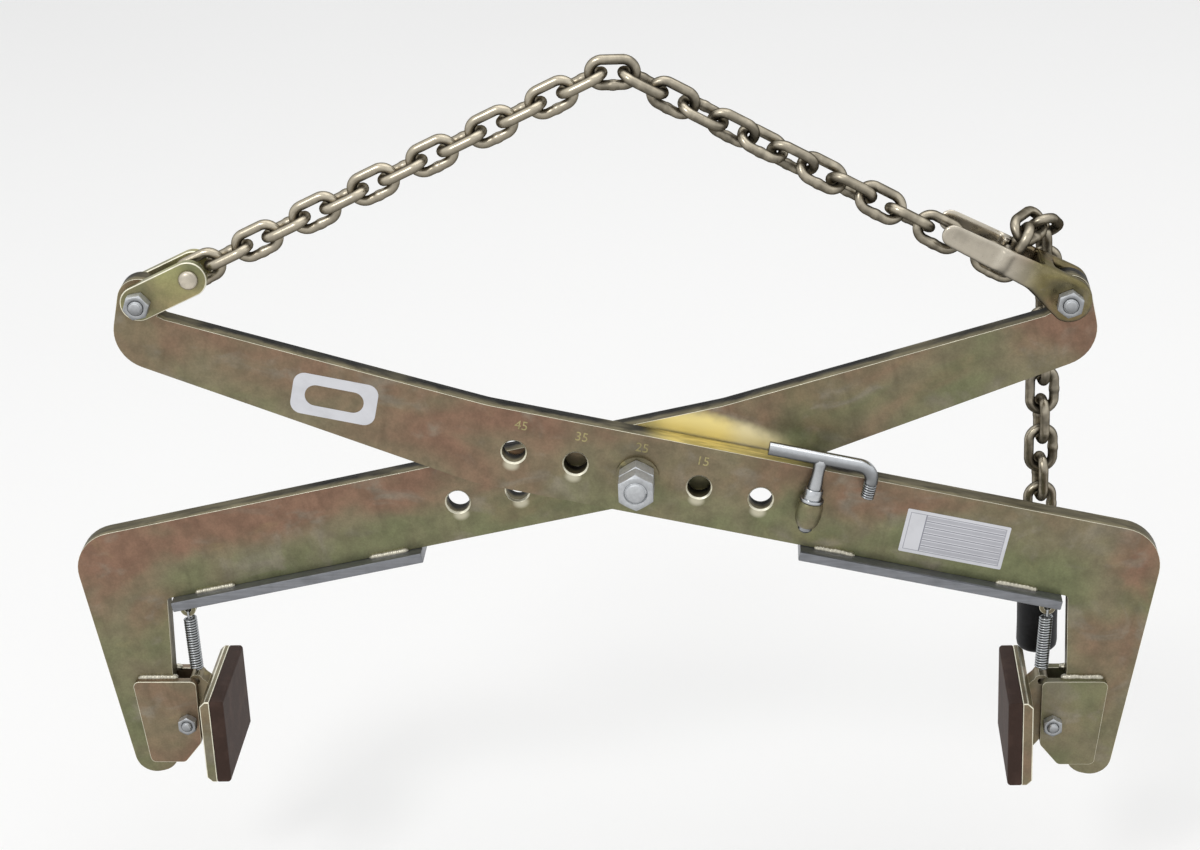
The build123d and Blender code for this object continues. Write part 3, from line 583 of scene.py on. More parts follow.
    def moulded(self, name, colour, roughness, scale, depth, gloss=0.5, ruled=False):
        """Rubber, soft plastic or label stock with clouds of dust and a fine grain."""
        material, net, coords = self.start(name)
        cloud = net.noise(coords, scale * 0.25, 4.0, 0.6)
        grain = net.noise(coords, scale * 4.0, 2.0, 0.6)
        pale = colour[0] > 0.5
        dust_and_painted_shade = [channel * 0.88 if pale else channel * 1.5 + 0.004 for channel in colour[:3]] + [1.0]
        tint = net.mix(cloud.fade(0.42, 0.75), colour, dust_and_painted_shade)
        if ruled:
            tint = net.mix(self.rules(net, coords), tint, (0.25, 0.25, 0.29, 1.0))
        return self.end(material, net, tint, (grain - 0.5) * 0.2 + roughness,
                        net.bump(grain, depth, 0.0003), specular=gloss)

    def rules(self, net, coords):
        """Ruled rows with grey fields and a frame line on the right label, nothing written in them."""
        middle_u, middle_v, wide, tall = [number * MM for number in RIGHT_LABEL[:4]]
        centre = (FRONT_PIVOT_U * MM - middle_u, 0.0, -middle_v)
        along, _, above = net.split(net.mapped(net.along_arm(coords, FRONT_TURN), move=centre))
        border = (abs(along) - (wide - 0.0022)).most(abs(above) - (tall - 0.0020))
        outline = abs(border) < 0.00022
        row = net.math("PINGPONG", above, 0.0019)
        column = wide * 0.62
        lines = (row < 0.00028).most(abs(along + column) < 0.0003)
        lines = lines.most((row > 0.0008) * 0.5)
        table = lines * (border < 0.0) * (along > -column - 0.0003)
        return table.most(outline * 0.7)


palette = None


def finishes(context):
    global palette
    if palette is None:
        palette = Palette(context.scene.clamp_finish)
    return palette


def put_object(name, data):
    piece = bpy.data.objects.new(name, data)
    bpy.context.scene.collection.objects.link(piece)
    return piece


def evaluated(piece, **options):
    bpy.context.view_layer.update()
    graph = bpy.context.evaluated_depsgraph_get()
    return bpy.data.meshes.new_from_object(piece.evaluated_get(graph), depsgraph=graph, **options)


def plain(piece):
    """Turns the evaluated piece into a plain mesh, with no modifiers left."""
    mesh = evaluated(piece, preserve_all_data_layers=True)
    piece.modifiers.clear()
    piece.data = mesh
    return piece


def mesh_only(piece):
    """The mesh of a helper object, which goes."""
    mesh = piece.data
    bpy.data.objects.remove(piece)
    return mesh


def curve_mesh(name, curve):
    """The mesh that a curve grows into, without the curve."""
    mesh = evaluated(put_object(name, curve))
    bpy.data.curves.remove(curve)
    return mesh


def mesh_from(name, points, faces, smooth=True, crease=35.0):
    mesh = bpy.data.meshes.new(name)
    mesh.from_pydata([tuple(point) for point in points], [], faces)
    shape = bmesh.new()
    shape.from_mesh(mesh)
    bmesh.ops.remove_doubles(shape, verts=shape.verts, dist=1e-7)
    bmesh.ops.recalc_face_normals(shape, faces=shape.faces)
    for face in shape.faces:
        face.smooth = smooth
    for edge in shape.edges:
        edge.smooth = edge.calc_face_angle(0.0) < math.radians(crease)
    shape.to_mesh(mesh)
    shape.free()
    return mesh


def joined(name, meshes, material):
    """One mesh from several plain ones, with one material."""
    shape = bmesh.new()
    for mesh in meshes:
        shape.from_mesh(mesh)
    for face in shape.faces:
        face.material_index = 0
    mesh = bpy.data.meshes.new(name)
    shape.to_mesh(mesh)
    shape.free()
    mesh.materials.append(material)
    return mesh


def ringed(name, rings, place=Matrix(), crease=35.0):
    """A skin over rings of (radius, height) points about z; rings at radius 0 close up."""
    count = len(rings[0])
    points = []
    faces = []
    for level, ring in enumerate(rings):
        here = level * count
        for step, (radius, height) in enumerate(ring):
            angle = 2.0 * math.pi * step / count
            points.append(place @ Vector((radius * math.cos(angle), radius * math.sin(angle), height)))
            if level:
                after = (step + 1) % count
                faces.append((here - count + step, here - count + after, here + after, here + step))
    return mesh_from(name, points, faces, crease=crease)


def lathe(name, profile, place, segments=40, crease=35.0):
    """Turns a profile of (radius, height) about z and puts it in place."""
    return ringed(name, [[spot] * segments for spot in profile], place, crease)


def tube(name, points, radius, kind, sides):
    """A round tube along points, as a plain mesh."""
    curve = bpy.data.curves.new(name, "CURVE")
    curve.dimensions = "3D"
    curve.bevel_depth = radius
    curve.bevel_resolution = sides
    curve.use_fill_caps = True
    spline = curve.splines.new(kind)
    spline.points.add(len(points) - 1)
    for slot, point in zip(spline.points, points):
        slot.co = (*point, 1.0)
    if kind == "NURBS":
        spline.order_u = 4
        spline.use_endpoint_u = True
        spline.resolution_u = 2
    mesh = curve_mesh(name + "_path", curve)
    for face in mesh.polygons:
        face.use_smooth = True
    return mesh


def geometry_tree(name, *labels):
    kinds = {"Part": "Object", "Material": "Material"}
    inputs = [(label, kinds.get(label, "Float")) for label in labels + ("Material",)]
    geometry = [("Geometry", "Geometry")]
    return new_tree("GeometryNodeTree", name, geometry + inputs, geometry)


def finish_tree(net, geometry, material, result, smooth=True):
    """Smooth shading, then real faces and the material, at the end of every tree."""
    if smooth:
        geometry = net.out("GeometryNodeSetShadeSmooth", {"Geometry": geometry})
    real = net.out("GeometryNodeRealizeInstances", {"Geometry": geometry})
    dressed = net.out("GeometryNodeSetMaterial", {"Geometry": real, "Material": material})
    net.put(result["Geometry"], dressed)


def link_tree():
    """A welded chain link on each point, turned by the point's own turn, with painted shade inside, below and at
    the sides.
    """
    tree, net, given, result = geometry_tree("Chain links", "Wire", "Bow", "Straight", "Weld Swell", "Soil")
    position = net.out("GeometryNodeInputPosition")
    along, above, _ = net.split(position)
    bow = given["Bow"]
    half = given["Straight"] * 0.5
    half_wire = given["Wire"] * 0.5
    shift = net.out("ShaderNodeCombineXYZ", {0: net.math("SIGN", along) * half})
    ring = net.out("GeometryNodeSetPosition", {"Geometry": net.circle(30, bow), "Offset": shift})
    even = net.out("GeometryNodeResampleCurve", {"Curve": ring, "Count": 64})
    swell = abs(along).fade(0.0006, 0.0026, 1.0, 0.0) * (above > 0.0) * given["Weld Swell"]
    wire = net.sweep(even, net.circle(14, half_wire), swell + 1.0)
    beyond = (abs(along) - half).most(0.0)
    reach = net.math("SQRT", beyond * beyond + above * above)
    # Painted shade inside each bow, where the links meet
    inside = reach.fade(bow - half_wire, bow, 1.0, 0.0) * beyond.fade(0.0, 0.003, 0.45, 1.0)
    copies = net.out("GeometryNodeInstanceOnPoints", {
        "Points": given["Geometry"], "Instance": net.stored(wire, inside),
        "Rotation": net.named("turn", "FLOAT_VECTOR")})
    real = net.out("GeometryNodeRealizeInstances", {"Geometry": copies})
    _, facing, height = net.split(net.out("GeometryNodeInputNormal"))
    # Painted shade: darker on faces that look down and on faces that look neither to the front nor the back
    under = height.fade(-0.45, 0.70, 0.80, 0.0).most(abs(facing).fade(0.22, 0.70, 0.72, 0.0))
    # Painted shade in patches, as strong as given for the run
    dust_and_painted_shade = net.noise(position, 140.0, 3.0, 0.6).fade(0.30, 0.62) * given["Soil"]
    soil = net.math("ADD", net.named("grime").most(under), dust_and_painted_shade, True)
    finish_tree(net, net.stored(real, soil), given["Material"], result)
    return tree


def bead_tree():
    """A rippled weld bead along each edge path."""
    tree, net, given, result = geometry_tree("Weld bead", "Width", "Ripple")
    path = net.out("GeometryNodeMeshToCurve", {"Mesh": given["Geometry"]})
    even = net.out("GeometryNodeResampleCurve", {"Curve": path, "Length": 0.00045}, mode="LENGTH")
    run = net.signals(net.node("GeometryNodeSplineParameter"))
    wave = net.math("SINE", run["Length"] * given["Ripple"])
    taper = net.math("MINIMUM", run["Factor"], 1.0 - run["Factor"]).fade(0.0, 0.06, 0.45, 1.0)
    section = net.circle(14, given["Width"] * 0.5)
    bead = net.sweep(even, section, (wave * 0.055 + 0.95) * taper, True)
    lumps = net.out("ShaderNodeTexNoise", {"Scale": 170.0}, "Color")
    centred = net.out("ShaderNodeVectorMath", {0: lumps, 1: (0.5, 0.5, 0.5)}, operation="SUBTRACT")
    small = net.out("ShaderNodeVectorMath", {0: centred, "Scale": 0.0011}, operation="SCALE")
    rough = net.out("GeometryNodeSetPosition", {"Geometry": bead, "Offset": small})
    finish_tree(net, rough, given["Material"], result)
    return tree


def ridge_tree():
    """A thread ridge wound up a rod along z."""
    tree, net, given, result = geometry_tree("Thread ridge", "Radius", "Pitch", "Length")
    coil = net.out("GeometryNodeCurveSpiral", {
        "Resolution": 28, "Rotations": given["Length"] / given["Pitch"],
        "Start Radius": given["Radius"], "End Radius": given["Radius"], "Height": given["Length"]})
    ridge = net.sweep(coil, net.circle(6, given["Pitch"] * 0.40), caps=True)
    finish_tree(net, ridge, given["Material"], result)
    return tree


def copies_tree():
    """A copy of the part on each point, with the point's own turn and size."""
    tree, net, given, result = geometry_tree("Placed parts", "Part")
    copies = net.out("GeometryNodeInstanceOnPoints", {
        "Points": given["Geometry"],
        "Instance": net.out("GeometryNodeObjectInfo", {"Object": given["Part"]}, "Geometry"),
        "Rotation": net.named("turn", "FLOAT_VECTOR"), "Scale": net.named("size", "FLOAT_VECTOR")})
    finish_tree(net, copies, given["Material"], result, smooth=False)
    return tree


TREE_MAKERS = {"links": link_tree, "bead": bead_tree, "ridge": ridge_tree, "copies": copies_tree}
trees = {}


def node_piece(name, mesh, kind, **values):
    """A plain mesh object grown from a mesh by one of the node trees."""
    if kind not in trees:
        trees[kind] = TREE_MAKERS[kind]()
    tree = trees[kind]
    piece = put_object(name, mesh)
    modifier = piece.modifiers.new(kind, "NODES")
    modifier.node_group = tree
    for item in tree.interface.items_tree:
        label = item.name.replace(" ", "_").lower()
        if item.in_out == "INPUT" and label in values:
            modifier[item.identifier] = values[label]
    return plain(piece)


def ridge_mesh(name, radius, pitch, length, place, material):
    made = node_piece(name, bpy.data.meshes.new(name), "ridge", radius=radius, pitch=pitch, length=length,
                      material=material)
    made.data.transform(place)
    return mesh_only(made)


def point_mesh(name, rows):
    """A mesh of loose points from rows of place, turn and, for some, size."""
    columns = list(zip(*rows))
    mesh = bpy.data.meshes.new(name)
    mesh.from_pydata([tuple(place) for place in columns[0]], [], [])
    for label, column in zip(("turn", "size"), columns[1:]):
        layer = mesh.attributes.new(label, "FLOAT_VECTOR", "POINT")
        layer.data.foreach_set("vector", [number for row in column for number in row])
    return mesh


def share_of(part, whole):
    return min(1.0, max(0.0, part / whole))


def paint_shade_below(mesh, share, start=0.40, span=0.95, sides=0.0, half_shade_at=None):
    """Stores a layer of painted shade: none on top, darker on faces that look down and, by sides, on
    faces that look left or right; around the last given point, if any, it is half as dark."""
    side_start = 0.45
    side_span = 0.4
    rows = []
    for vertex, normal in zip(mesh.vertices, mesh.vertex_normals):
        soil = share_of(start - normal.vector.z, span)
        soil = max(soil, sides * share_of(abs(normal.vector.x) - side_start, side_span))
        near = half_shade_at is not None and (vertex.co - half_shade_at).length < HALF_SHADE_REACH
        rows.append(soil * share * (0.5 if near else 1.0))
    mesh.attributes.new("grime", "FLOAT", "POINT").data.foreach_set("value", rows)
    return mesh


def settle(piece, body, slot, *nodes):
    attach(piece, body)
    if nodes:
        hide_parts(*nodes)
    return piece


def cad_shape(node):
    """The bare points and faces of a CAD node."""
    source = NODES[node].data
    points = [vertex.co.copy() for vertex in source.vertices]
    return points, [tuple(face.vertices) for face in source.polygons]


def rounded(node, slot, materials, width, segments=2):
    """A copy of a CAD node with its corners rounded; rounded corners take the last material."""
    points, faces = cad_shape(node)
    mesh = bpy.data.meshes.new(node + "_finish")
    mesh.from_pydata(points, [], faces)
    shape = bmesh.new()
    shape.from_mesh(mesh)
    bmesh.ops.remove_doubles(shape, verts=shape.verts, dist=CAD_SEAM)
    bmesh.ops.dissolve_limit(shape, angle_limit=FLAT_ANGLE, verts=shape.verts, edges=shape.edges)
    for face in shape.faces:
        face.smooth = True
    for edge in shape.edges:
        edge.smooth = edge.calc_face_angle(0.0) < CORNER_ANGLE
    shape.to_mesh(mesh)
    shape.free()
    for material in materials:
        mesh.materials.append(material)
    piece = put_object(node + "_finish", mesh)
    bevel = piece.modifiers.new("corner", "BEVEL")
    bevel.limit_method = "ANGLE"
    bevel.angle_limit = CORNER_ANGLE
    bevel.width = width
    bevel.segments = segments
    bevel.use_clamp_overlap = True
    bevel.harden_normals = True
    bevel.material = len(materials) - 1
    plain(piece)
    return settle(piece, BODY_OF[node], slot, node)


def swell_front(mesh, seat, swell, reach):
    """Bulges the faces that look at the viewer, most at the middle of the bar and not at the seat."""
    depth = 3.0 * MM
    seat_radius = 9.0 * MM
    seat_fade = 8.0 * MM
    facing = -0.5
    front = min(vertex.co.y for vertex in mesh.vertices) + depth
    near = [vertex for vertex in mesh.vertices if vertex.co.y < front]
    rim = [vertex.co for vertex in near if vertex.normal.y > facing]
    tree = KDTree(len(rim))
    for index, spot in enumerate(rim):
        tree.insert((spot.x, 0.0, spot.z), index)
    tree.balance()
    for vertex in near:
        if vertex.normal.y > facing:
            continue
        flat = Vector((vertex.co.x, 0.0, vertex.co.z))
        inward = share_of(tree.find(flat)[2], reach)
        away = math.hypot(flat.x - seat.x, flat.z - seat.z)
        clear = share_of(away - seat_radius, seat_fade)
        vertex.co.y -= swell * math.sqrt(1.0 - (1.0 - inward) ** 2) * clear


def softened(piece, rounds):
    soften = piece.modifiers.new("soften", "SMOOTH")
    soften.factor = 0.5
    soften.iterations = rounds
    return plain(piece)


def forged(node, slot, material):
    """A copy of a CAD node with all its corners rounded off, as a forging has them, and painted shade below."""
    name = node + "_finish"
    piece = put_object(name, mesh_from(name, *cad_shape(node)))
    remesh = piece.modifiers.new("even", "REMESH")
    remesh.mode = "VOXEL"
    remesh.voxel_size = CLAW_GRAIN
    remesh.use_smooth_shade = True
    softened(piece, 30)
    swell_front(piece.data, CLAW_BOLT, CLAW_SWELL, CLAW_SWELL_REACH)
    softened(piece, 16)
    # Painted shade: darker on the faces that look down
    paint_shade_below(piece.data, 0.8, 0.14, 0.55)
    piece.data.materials.clear()
    piece.data.materials.append(material)
    return settle(piece, BODY_OF[node], slot, node)


def plate_faces(piece, own):
    """Gives every face of a plate that does not face the viewer or the back the rim's material;
    corners that look down, and all of a hole's lip but its lower part, stay plated, so the bright
    rubbed corners, partly a painted highlight, stay where light from above falls on them."""
    plating, rim, corner = range(3)
    upright = 0.30
    level = 0.95
    to_plate = own.inverted()
    for face in piece.data.polygons:
        slope = abs(face.normal.y)
        if face.material_index == corner:
            spot = to_plate @ face.center
            from_hole = abs((spot.x + HOLE_PITCH / 2) % HOLE_PITCH - HOLE_PITCH / 2)
            lip = abs(spot.z) < HOLE_LIP and from_hole < HOLE_LIP
            if face.normal.z < (0.3 if lip else -0.2):
                face.material_index = plating
        elif slope < upright:
            face.material_index = rim
        elif slope < level:
            face.material_index = corner


class CLAMP_OT_arms(bpy.types.Operator):
    """Arm plates, flat bars, fork cheeks and spring lugs with rounded corners and plating"""

    bl_idname = "clamp.arms"
    bl_label = "Arms"

    def execute(self, context):
        looks = finishes(context)
        width = context.scene.clamp_sizes.edge_width
        narrow = width * 0.7
        edge = looks.rubbed_edge_highlight
        for arm, plating, rim in (("front", looks.front_plate, looks.front_rim),
                                  ("rear", looks.rear_plate, looks.rear_rim)):
            plate = rounded(arm + "_arm_plate", "yellow_zinc", [plating, rim, edge], width)
            plate_faces(plate, arm_frame(arm))
            rounded(arm + "_arm_flange", "grey_bar", [looks.bar], narrow)
        for hand, plating in (("right", looks.right_cheek), ("left", looks.left_cheek)):
            for cheek in ("_fork_front_cheek", "_fork_rear_cheek"):
                rounded(hand + cheek, "yellow_zinc", [plating, edge], narrow)
            rounded(hand + "_spring_anchor", "yellow_zinc", [looks.small_plate, edge], narrow)
        for node in ("pivot_front_washer", "pivot_rear_washer", "pivot_spacer"):
            mesh = NODES[node].data
            mesh.materials.clear()
            mesh.materials.append(looks.small_plate)
        return {"FINISHED"}


class CLAMP_OT_welds(bpy.types.Operator):
    """Weld beads on the flat bars, fork cheeks, spring lugs and latch sleeve"""

    bl_idname = "clamp.welds"
    bl_label = "Welds"

    def seams(self, arm):
        """Both ends of every bead on an arm, one bead after the other."""
        own = arm_frame(arm)
        fork = cheek_frame(arm)
        half_plate = PLATE_BACK - PLATE_MIDDLE
        out, rise = FLANGE_STAND
        ends = [(own, (u, PLATE_MIDDLE + side * (half_plate + out), BAR_BOTTOM + rise))
                for side in (-1, 1) for run in FLANGE_WELDS for u in run]
        out, rise = CHEEK_STAND
        ends += [(fork, (x, side * (half_plate + out), CHEEK_TOP + rise))
                 for side in (-1, 1) for x in CHEEK_WELD]
        under = BAR_BOTTOM - FLANGE_THICKNESS - LUG_STAND
        ends += [(own, (ANCHOR_U + u, PLATE_MIDDLE + y, under)) for y in LUG_SIDES for u in LUG_WELD]
        if arm == "front":
            ends += [(own, (LATCH_U + u, PLATE_FACE - LATCH_STAND, v))
                     for u in LATCH_SIDES for v in LATCH_WELD]
        return [place @ Vector(end) for place, end in ends]

    def execute(self, context):
        looks = finishes(context)
        for arm in ("front", "rear"):
            points = self.seams(arm)
            name = arm + "_arm_welds"
            mesh = bpy.data.meshes.new(name)
            mesh.from_pydata(points, [(step, step + 1) for step in range(0, len(points), 2)], [])
            beads = node_piece(name, mesh, "bead", width=context.scene.clamp_sizes.bead_width,
                               ripple=BEAD_RIPPLE, material=looks.bead)
            settle(beads, arm + "_arm", "yellow_zinc")
        return {"FINISHED"}


def oval_loop(middle_u, middle_v, half_u, half_v, corner, steps=12):
    """Points round a rectangle with rounded corners, on the front arm's face."""
    own = arm_frame("front")
    points = []
    for index, (side_u, side_v) in enumerate(((1, 1), (-1, 1), (-1, -1), (1, -1))):
        for step in range(steps + 1):
            angle = math.pi / 2 * (index + step / steps)
            u = middle_u + side_u * (half_u - corner) + corner * math.cos(angle)
            v = middle_v + side_v * (half_v - corner) + corner * math.sin(angle)
            points.append(own @ Vector((u, PLATE_FACE - LABEL_LIFT, v)))
    return points


class CLAMP_OT_marks(bpy.types.Operator):
    """Two blank labels and the stamped hole numbers on the front arm"""

    bl_idname = "clamp.marks"
    bl_label = "Labels and numbers"

    def label(self, name, outline, window, material):
        points = oval_loop(*outline)
        count = len(points)
        faces = [tuple(range(count))]
        if window:
            points += oval_loop(*window)
            faces = [(step, (step + 1) % count, count + (step + 1) % count, count + step)
                     for step in range(count)]
        mesh = mesh_from(name, points, faces, smooth=False)
        if mesh.polygons[0].normal.y > 0.0:
            mesh.flip_normals()
        mesh.materials.append(material)
        piece = put_object(name, mesh)
        sheet = piece.modifiers.new("thickness", "SOLIDIFY")
        sheet.thickness = LABEL_SHEET * MM
        sheet.offset = 1.0
        settle(plain(piece), "front_arm", None)

    def number(self, text, u, v, height, material):
        name = "hole_number_" + text
        curve = bpy.data.curves.new(name, "FONT")
        curve.body = text
        curve.size = height
        curve.extrude = NUMBER_DEPTH * MM
        curve.align_x = "CENTER"
        curve.align_y = "CENTER"
        curve.materials.append(material)
        mesh = curve_mesh(name + "_text", curve)
        place = arm_frame("front") @ Matrix.Translation((u, PLATE_FACE - NUMBER_LIFT, v))
        mesh.transform(place @ Matrix.Scale(1.0 / MM, 4) @ Matrix.Rotation(math.pi / 2, 4, "X"))
        settle(put_object(name, mesh), "front_arm", None)

    def execute(self, context):
        looks = finishes(context)
        self.label("left_label", LEFT_LABEL, LEFT_WINDOW, looks.label)
        self.label("right_label", RIGHT_LABEL, None, looks.ruled)
        for text, u, v in HOLE_NUMBERS:
            self.number(text, u, v, context.scene.clamp_sizes.number_height, looks.stamp)
        return {"FINISHED"}


def main_axis(reach, axis, rounds, apart=Vector()):
    """Direction in which the points spread most, at right angles to another."""
    for step in range(rounds):
        axis = sum((arm * arm.dot(axis) for arm in reach), Vector())
        axis = (axis - apart * axis.dot(apart)).normalized()
    return axis


def link_places(node):
    """The middle and turn of every link in a CAD chain run, read from its own shape."""
    shape = bmesh.new()
    shape.from_mesh(NODES[node].data)
    bmesh.ops.remove_doubles(shape, verts=shape.verts, dist=CAD_SEAM)
    seen = set()
    rows = []
    for seed in shape.verts:
        if seed in seen:
            continue
        seen.add(seed)
        island = [seed]
        for here in island:
            for edge in here.link_edges:
                other = edge.other_vert(here)
                if other not in seen:
                    seen.add(other)
                    island.append(other)
        middle = sum((vertex.co for vertex in island), Vector()) / len(island)
        reach = [vertex.co - middle for vertex in island]
        along = max(reach, key=lambda arm: arm.length)
        spread = Vector((1.0, 0.3, 0.2)) if abs(along.normalized().x) < 0.7 else Vector((0.2, 1.0, 0.3))
        along = main_axis(reach, along, 30)
        spread = main_axis(reach, spread, 60, along)
        if spread.z > 0.3 or (abs(spread.z) <= 0.3 and spread.y < 0.0):
            spread = -spread
        turn = Matrix((along, spread, along.cross(spread))).transposed()
        rows.append((middle, turn.to_euler()))
    shape.free()
    return rows


class CLAMP_OT_chain(bpy.types.Operator):
    """Welded links of the two runs, the lifting link, the turn over the claw and the tail"""

    bl_idname = "clamp.chain"
    bl_label = "Chain"

    def execute(self, context):
        looks = finishes(context)
        sizes = context.scene.clamp_sizes
        for node in ("chain_left_run", "lifting_link", "chain_right_run", "chain_bight", "chain_tail"):
            name = node + "_links"
            piece = node_piece(name, point_mesh(name, link_places(node)), "links",
                               wire=sizes.link_wire, bow=sizes.link_bow,
                               straight=sizes.link_straight, weld_swell=sizes.link_weld,
                               # Painted shade in patches on every run but the left one
                               soil=0.0 if node == "chain_left_run" else CHAIN_RUN_SHADE,
                               material=looks.chain)
            settle(piece, BODY_OF[node], "chain", node)
        return {"FINISHED"}


class CLAMP_OT_sleeve(bpy.types.Operator):
    """Soft closed sleeve over the end of the chain's tail"""

    bl_idname = "clamp.sleeve"
    bl_label = "Tail sleeve"

    def execute(self, context):
        looks = finishes(context)
        low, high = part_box("chain_tail_sleeve")
        middle = (low + high) / 2
        tall = high.z - low.z
        outer = (high.x - low.x) / 2 - 0.0001
        wall = 0.0014
        profile = [(0.0, 0.0), (outer * 0.72, 0.0), (outer * 0.88, 0.0005), (outer * 0.965, 0.0018),
                   (outer, 0.0045), (outer * 0.985, tall * 0.3), (outer, tall * 0.62),
                   (outer * 0.985, tall - 0.004), (outer, tall - 0.0016), (outer - 0.0004, tall),
                   (outer - wall + 0.0003, tall), (outer - wall, tall - 0.0008),
                   (outer - wall, 0.003), (outer * 0.6, wall), (0.0, wall)]
        place = Matrix.Translation((middle.x, middle.y, low.z))
        mesh = lathe("tail_sleeve", profile, place, 48, 60.0)
        mesh.materials.append(looks.sleeve)
        settle(put_object("tail_sleeve", mesh), "chain_tail", "sleeve", "chain_tail_sleeve")
        return {"FINISHED"}


class CLAMP_OT_sling_ends(bpy.types.Operator):
    """Shackle straps with their rivet, and the shortening claw"""

    bl_idname = "clamp.sling_ends"
    bl_label = "Shackle and claw"

    def execute(self, context):
        looks = finishes(context)
        width = context.scene.clamp_sizes.edge_width
        for node in ("shackle_front_strap", "shackle_rear_strap"):
            rounded(node, "yellow_zinc", [looks.strap, looks.rubbed_edge_highlight], width, 3)
        forged("shortening_claw", "yellow_zinc", looks.forged)
        low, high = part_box("shackle_pin")
        half = (high.y - low.y) / 2
        head = (high.x - low.x) / 2
        shank = 0.0036
        seat = half - 0.003
        dome = [(head, seat), (head, seat + 0.0006), (head * 0.93, seat + 0.0015),
                (head * 0.75, seat + 0.0023), (head * 0.48, seat + 0.0028), (0.0, half)]
        profile = [(radius, -height) for radius, height in reversed(dome)]
        profile += [(shank, -seat), (shank, seat)] + dome
        place = Matrix.Translation((low + high) / 2) @ Matrix.Rotation(math.pi / 2, 4, "X")
        mesh = lathe("shackle_rivet", profile, place, 36)
        mesh.materials.append(looks.rivet)
        settle(put_object("shackle_rivet", mesh), "shackle", "bright_zinc", "shackle_pin")
        return {"FINISHED"}


def hex_shape(name, height, bore):
    """A chamfered hexagon of one unit across its flats, seated at z 0, with a bore or a dished top."""
    segments = 60
    flat = 0.475
    chamfer = math.tan(math.radians(30.0))
    bore_chamfer = 0.04
    dish = 0.012
    low = []
    high = []
    for step in range(segments):
        local = (2.0 * math.pi * step / segments + math.pi / 6) % (math.pi / 3) - math.pi / 6
        radius = 0.5 / math.cos(local)
        drop = (radius - flat) * chamfer
        low.append((radius, drop if bore else 0.0))
        high.append((radius, height - drop))
    top = [(flat * 0.86, height), (flat * 0.80, height - dish), (0.0, height - dish)]
    if bore:
        top = [(bore + bore_chamfer, height), (bore, height - bore_chamfer), (bore, 0.0)]
    rings = [[(bore, 0.0)] * segments, [(flat, 0.0)] * segments, low, high]
    rings += [[spot] * segments for spot in [(flat, height)] + top]
    return put_object(name, ringed(name, rings, crease=28.0))


def hexagon_of(node, near, far):
    """Middle and corner angle of a CAD hexagon, from its points between two depths."""
    points = [Vector((vertex.co.x, 0.0, vertex.co.z)) for vertex in NODES[node].data.vertices
              if near <= vertex.co.y <= far]
    low = Vector(map(min, zip(*points)))
    high = Vector(map(max, zip(*points)))
    middle = (low + high) / 2
    corner = max(points, key=lambda point: (point - middle).length_squared) - middle
    return middle, math.atan2(corner.z, corner.x)


